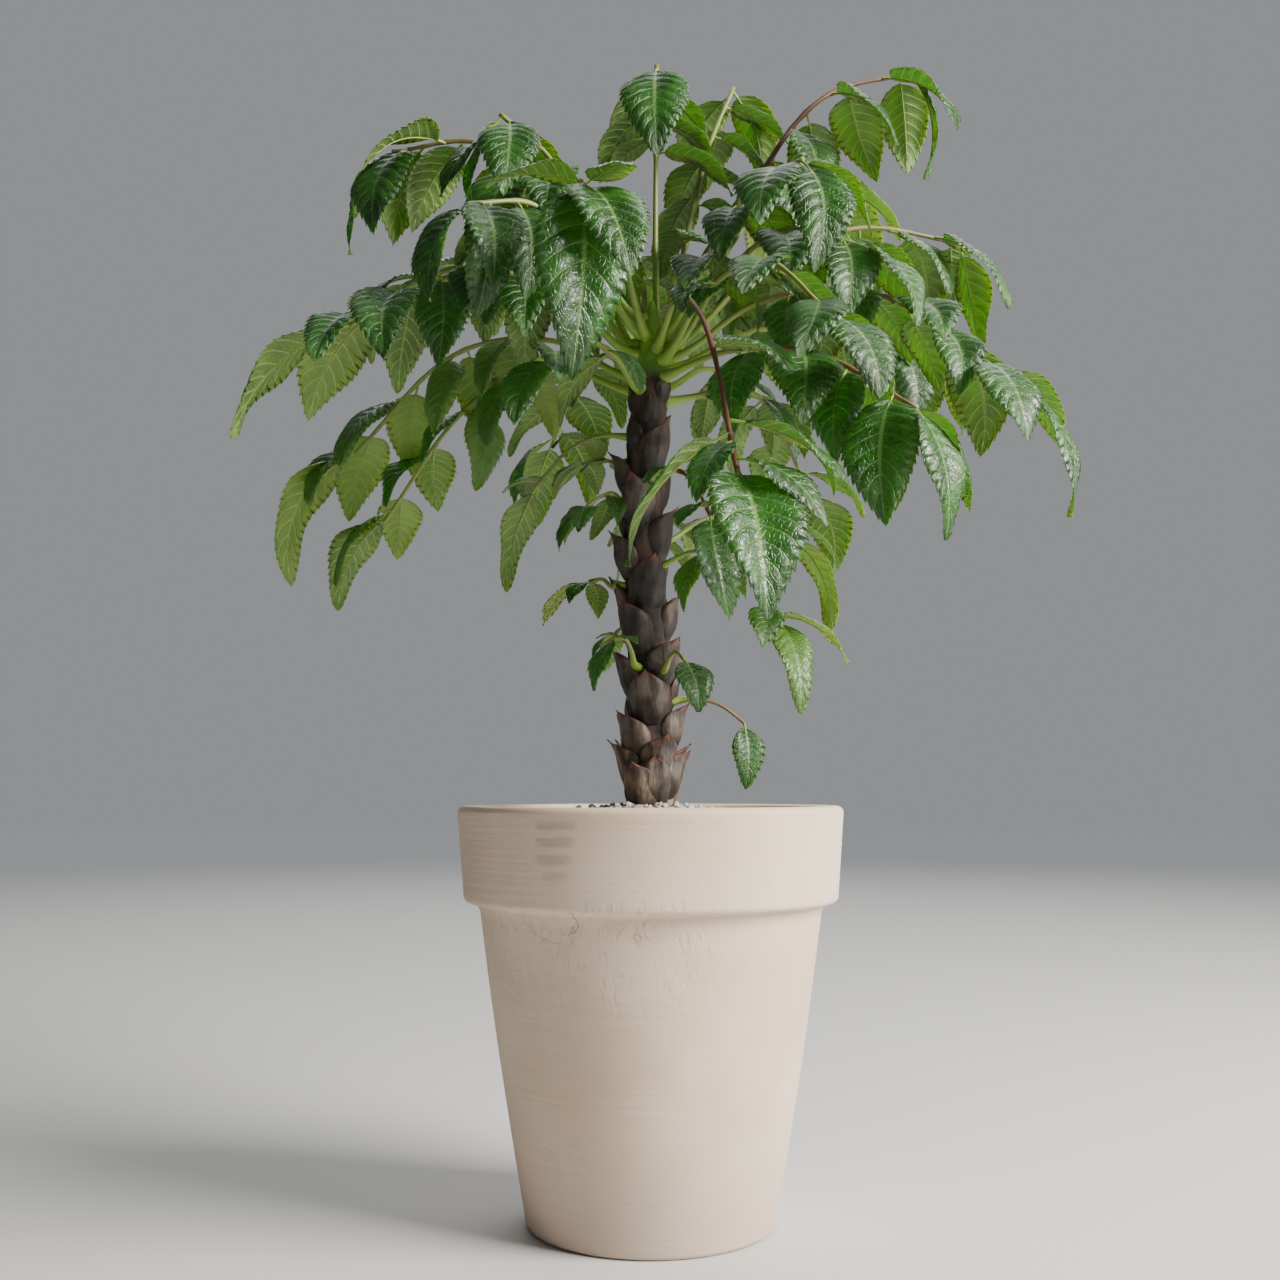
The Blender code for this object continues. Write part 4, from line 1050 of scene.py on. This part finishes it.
def makeStones():
    # every stone is a small sphere grid, squashed, dented by sines, turned at random and laid on the grit
    rng = np.random.default_rng(11)
    count, rings, sides = gritLook["stones"], gritLook["rings"], gritLook["sides"]
    polar = np.linspace(0.001, math.pi - 0.001, rings)[:, None]
    around = (2 * math.pi * np.arange(sides) / sides)[None, :]
    ball = np.stack([np.sin(polar) * np.cos(around), np.sin(polar) * np.sin(around),
                     np.cos(polar) + 0 * around], -1).reshape(-1, 3)
    size = rng.uniform(*gritLook["size"], count) / 2 * rng.choice((0.7, 1, 1, 1.25), count)
    shape = ball[None] * rng.uniform(0.7, 1.15, (count, 1, 3)) * size[:, None, None]
    dents = np.sin(ball[None] @ rng.normal(0, 2.2, (count, 3, 1)) + rng.uniform(0, 6, (count, 1, 1)))
    shape = shape * (1 + 0.16 * dents)
    turn = np.linalg.qr(rng.normal(size=(count, 3, 3)))[0]
    turn[np.linalg.det(turn) < 0] *= -1
    shape = np.einsum("nij,nkj->nki", turn, shape)
    outer = innerRadius(soilTop) - gritLook["rimGap"]
    inner = plant["trunkRadius"] + gritLook["trunkGap"]
    radius = np.sqrt(rng.uniform(inner ** 2, outer ** 2, count))
    heading = rng.uniform(0, 2 * math.pi, count)
    share = (outer - radius) / (outer - inner)
    z = soilTop + plant["gap"] + plant["gritThick"] + plant["gritMound"] * share ** 2 + size * 0.25
    place = np.stack([radius * np.cos(heading), radius * np.sin(heading), z], -1)
    verts = (shape + place[:, None]).reshape(-1, 3)
    per = rings * sides
    ball = gridFaces(rings, sides, closeColumns=True)[:, ::-1]    # the rings run downward
    quads = ball[None] + (np.arange(count) * per)[:, None, None]
    starts = range(0, count * per, per)
    ends = [tuple(range(start, start + sides)) for start in starts]
    ends += [tuple(range(start + per - 1, start + per - 1 - sides, -1)) for start in starts]
    tone = np.repeat(rng.uniform(0, 1, count) ** 1.8, per)
    return makePiece("pumice_stones", verts, quads.reshape(-1, 4), [pumiceMaterial()], tone=tone, caps=ends)


def dress(name, finish):
    mesh = nodes[name].data
    mesh.materials.clear()
    mesh.materials.append(finish)


stones = makeStones()
dress("potting_soil", soilMaterial("pottingSoil", *gritLook["soil"]))
dress("pumice_topdressing", soilMaterial("gritBed", *gritLook["bed"]))
print("soil and grit made")


studio = {
    "lens": 40.4, "cameraAt": (-0.005, -0.681, 0.197), "tilt": 5.9, "aim": (0, 0, 0.36),
    "lights": {
        "keyLight": dict(place=(1.28, -0.58, 1.0), size=0.9, power=88.0, colour=(1.0, 0.955, 0.90)),
        "fillLight": dict(place=(-1.3, -0.9, 0.9), size=1.6, power=0.2),
        "topLight": dict(place=(0.2, 2.2, 2.6), size=3.0, power=70.0),
    },
    "sky": 0.15, "backdrop": 0.46, "skyColour": (0.62, 0.64, 0.66),
    "floorSize": 12.0, "floorColour": (0.62, 0.62, 0.61), "floorFade": (1.2, 4.0),
}


def areaLight(name, place, size, power, colour=(1, 1, 1)):
    data = bpy.data.lights.new(name, "AREA")
    data.shape = "SQUARE"
    data.size = size
    data.energy = power
    data.color = colour
    lamp = bpy.data.objects.new(name, data)
    lamp.location = place
    lamp.rotation_euler = (Vector(studio["aim"]) - Vector(place)).to_track_quat("-Z", "Y").to_euler()
    bpy.context.collection.objects.link(lamp)


def makeFloor():
    half = studio["floorSize"] / 2
    mesh = bpy.data.meshes.new("studio_floor")
    corners = [(-half, -half, 0), (half, -half, 0), (half, half, 0), (-half, half, 0)]
    mesh.from_pydata(corners, [], [(0, 1, 2, 3)])
    made, w = newMaterial("paleFloor", 0.8)
    distance = w.nodes.new("ShaderNodeVectorMath")
    distance.operation = "LENGTH"
    w.links.new(w.coords(), distance.inputs[0])
    far = w.range(distance.outputs["Value"], *studio["floorFade"])    # the floor fades into the backdrop
    w.put(w.shader.inputs["Base Color"], w.mix(far, studio["floorColour"], (0, 0, 0)))
    # painted glow: far from the plant the floor emits the sky colour instead of being lit, and its own colour
    # fades to black there
    w.put(w.shader.inputs["Emission Color"], w.mix(far, (0, 0, 0), studio["skyColour"]))
    w.put(w.shader.inputs["Emission Strength"], studio["backdrop"])
    mesh.materials.append(made)
    floor = bpy.data.objects.new("studio_floor", mesh)
    bpy.context.collection.objects.link(floor)


makeFloor()
for name, light in studio["lights"].items():
    areaLight(name, **light)
world = bpy.data.worlds.new("studioSky")
world.use_nodes = True
sky = world.node_tree.nodes["Background"]
sky.inputs["Color"].default_value = (*studio["skyColour"], 1)
wires = Wires(world.node_tree)
seen = world.node_tree.nodes.new("ShaderNodeLightPath").outputs["Is Camera Ray"]    # the backdrop is paler
wires.put(sky.inputs["Strength"], wires.range(seen, 0.0, 1.0, studio["sky"], studio["backdrop"]))
bpy.context.scene.world = world
camera = bpy.data.objects.new("camera", bpy.data.cameras.new("camera"))
camera.data.lens = studio["lens"]
camera.location = studio["cameraAt"]
camera.rotation_euler = (math.radians(90 + studio["tilt"]), 0, 0)
bpy.context.collection.objects.link(camera)
bpy.context.scene.camera = camera
print("studio made")
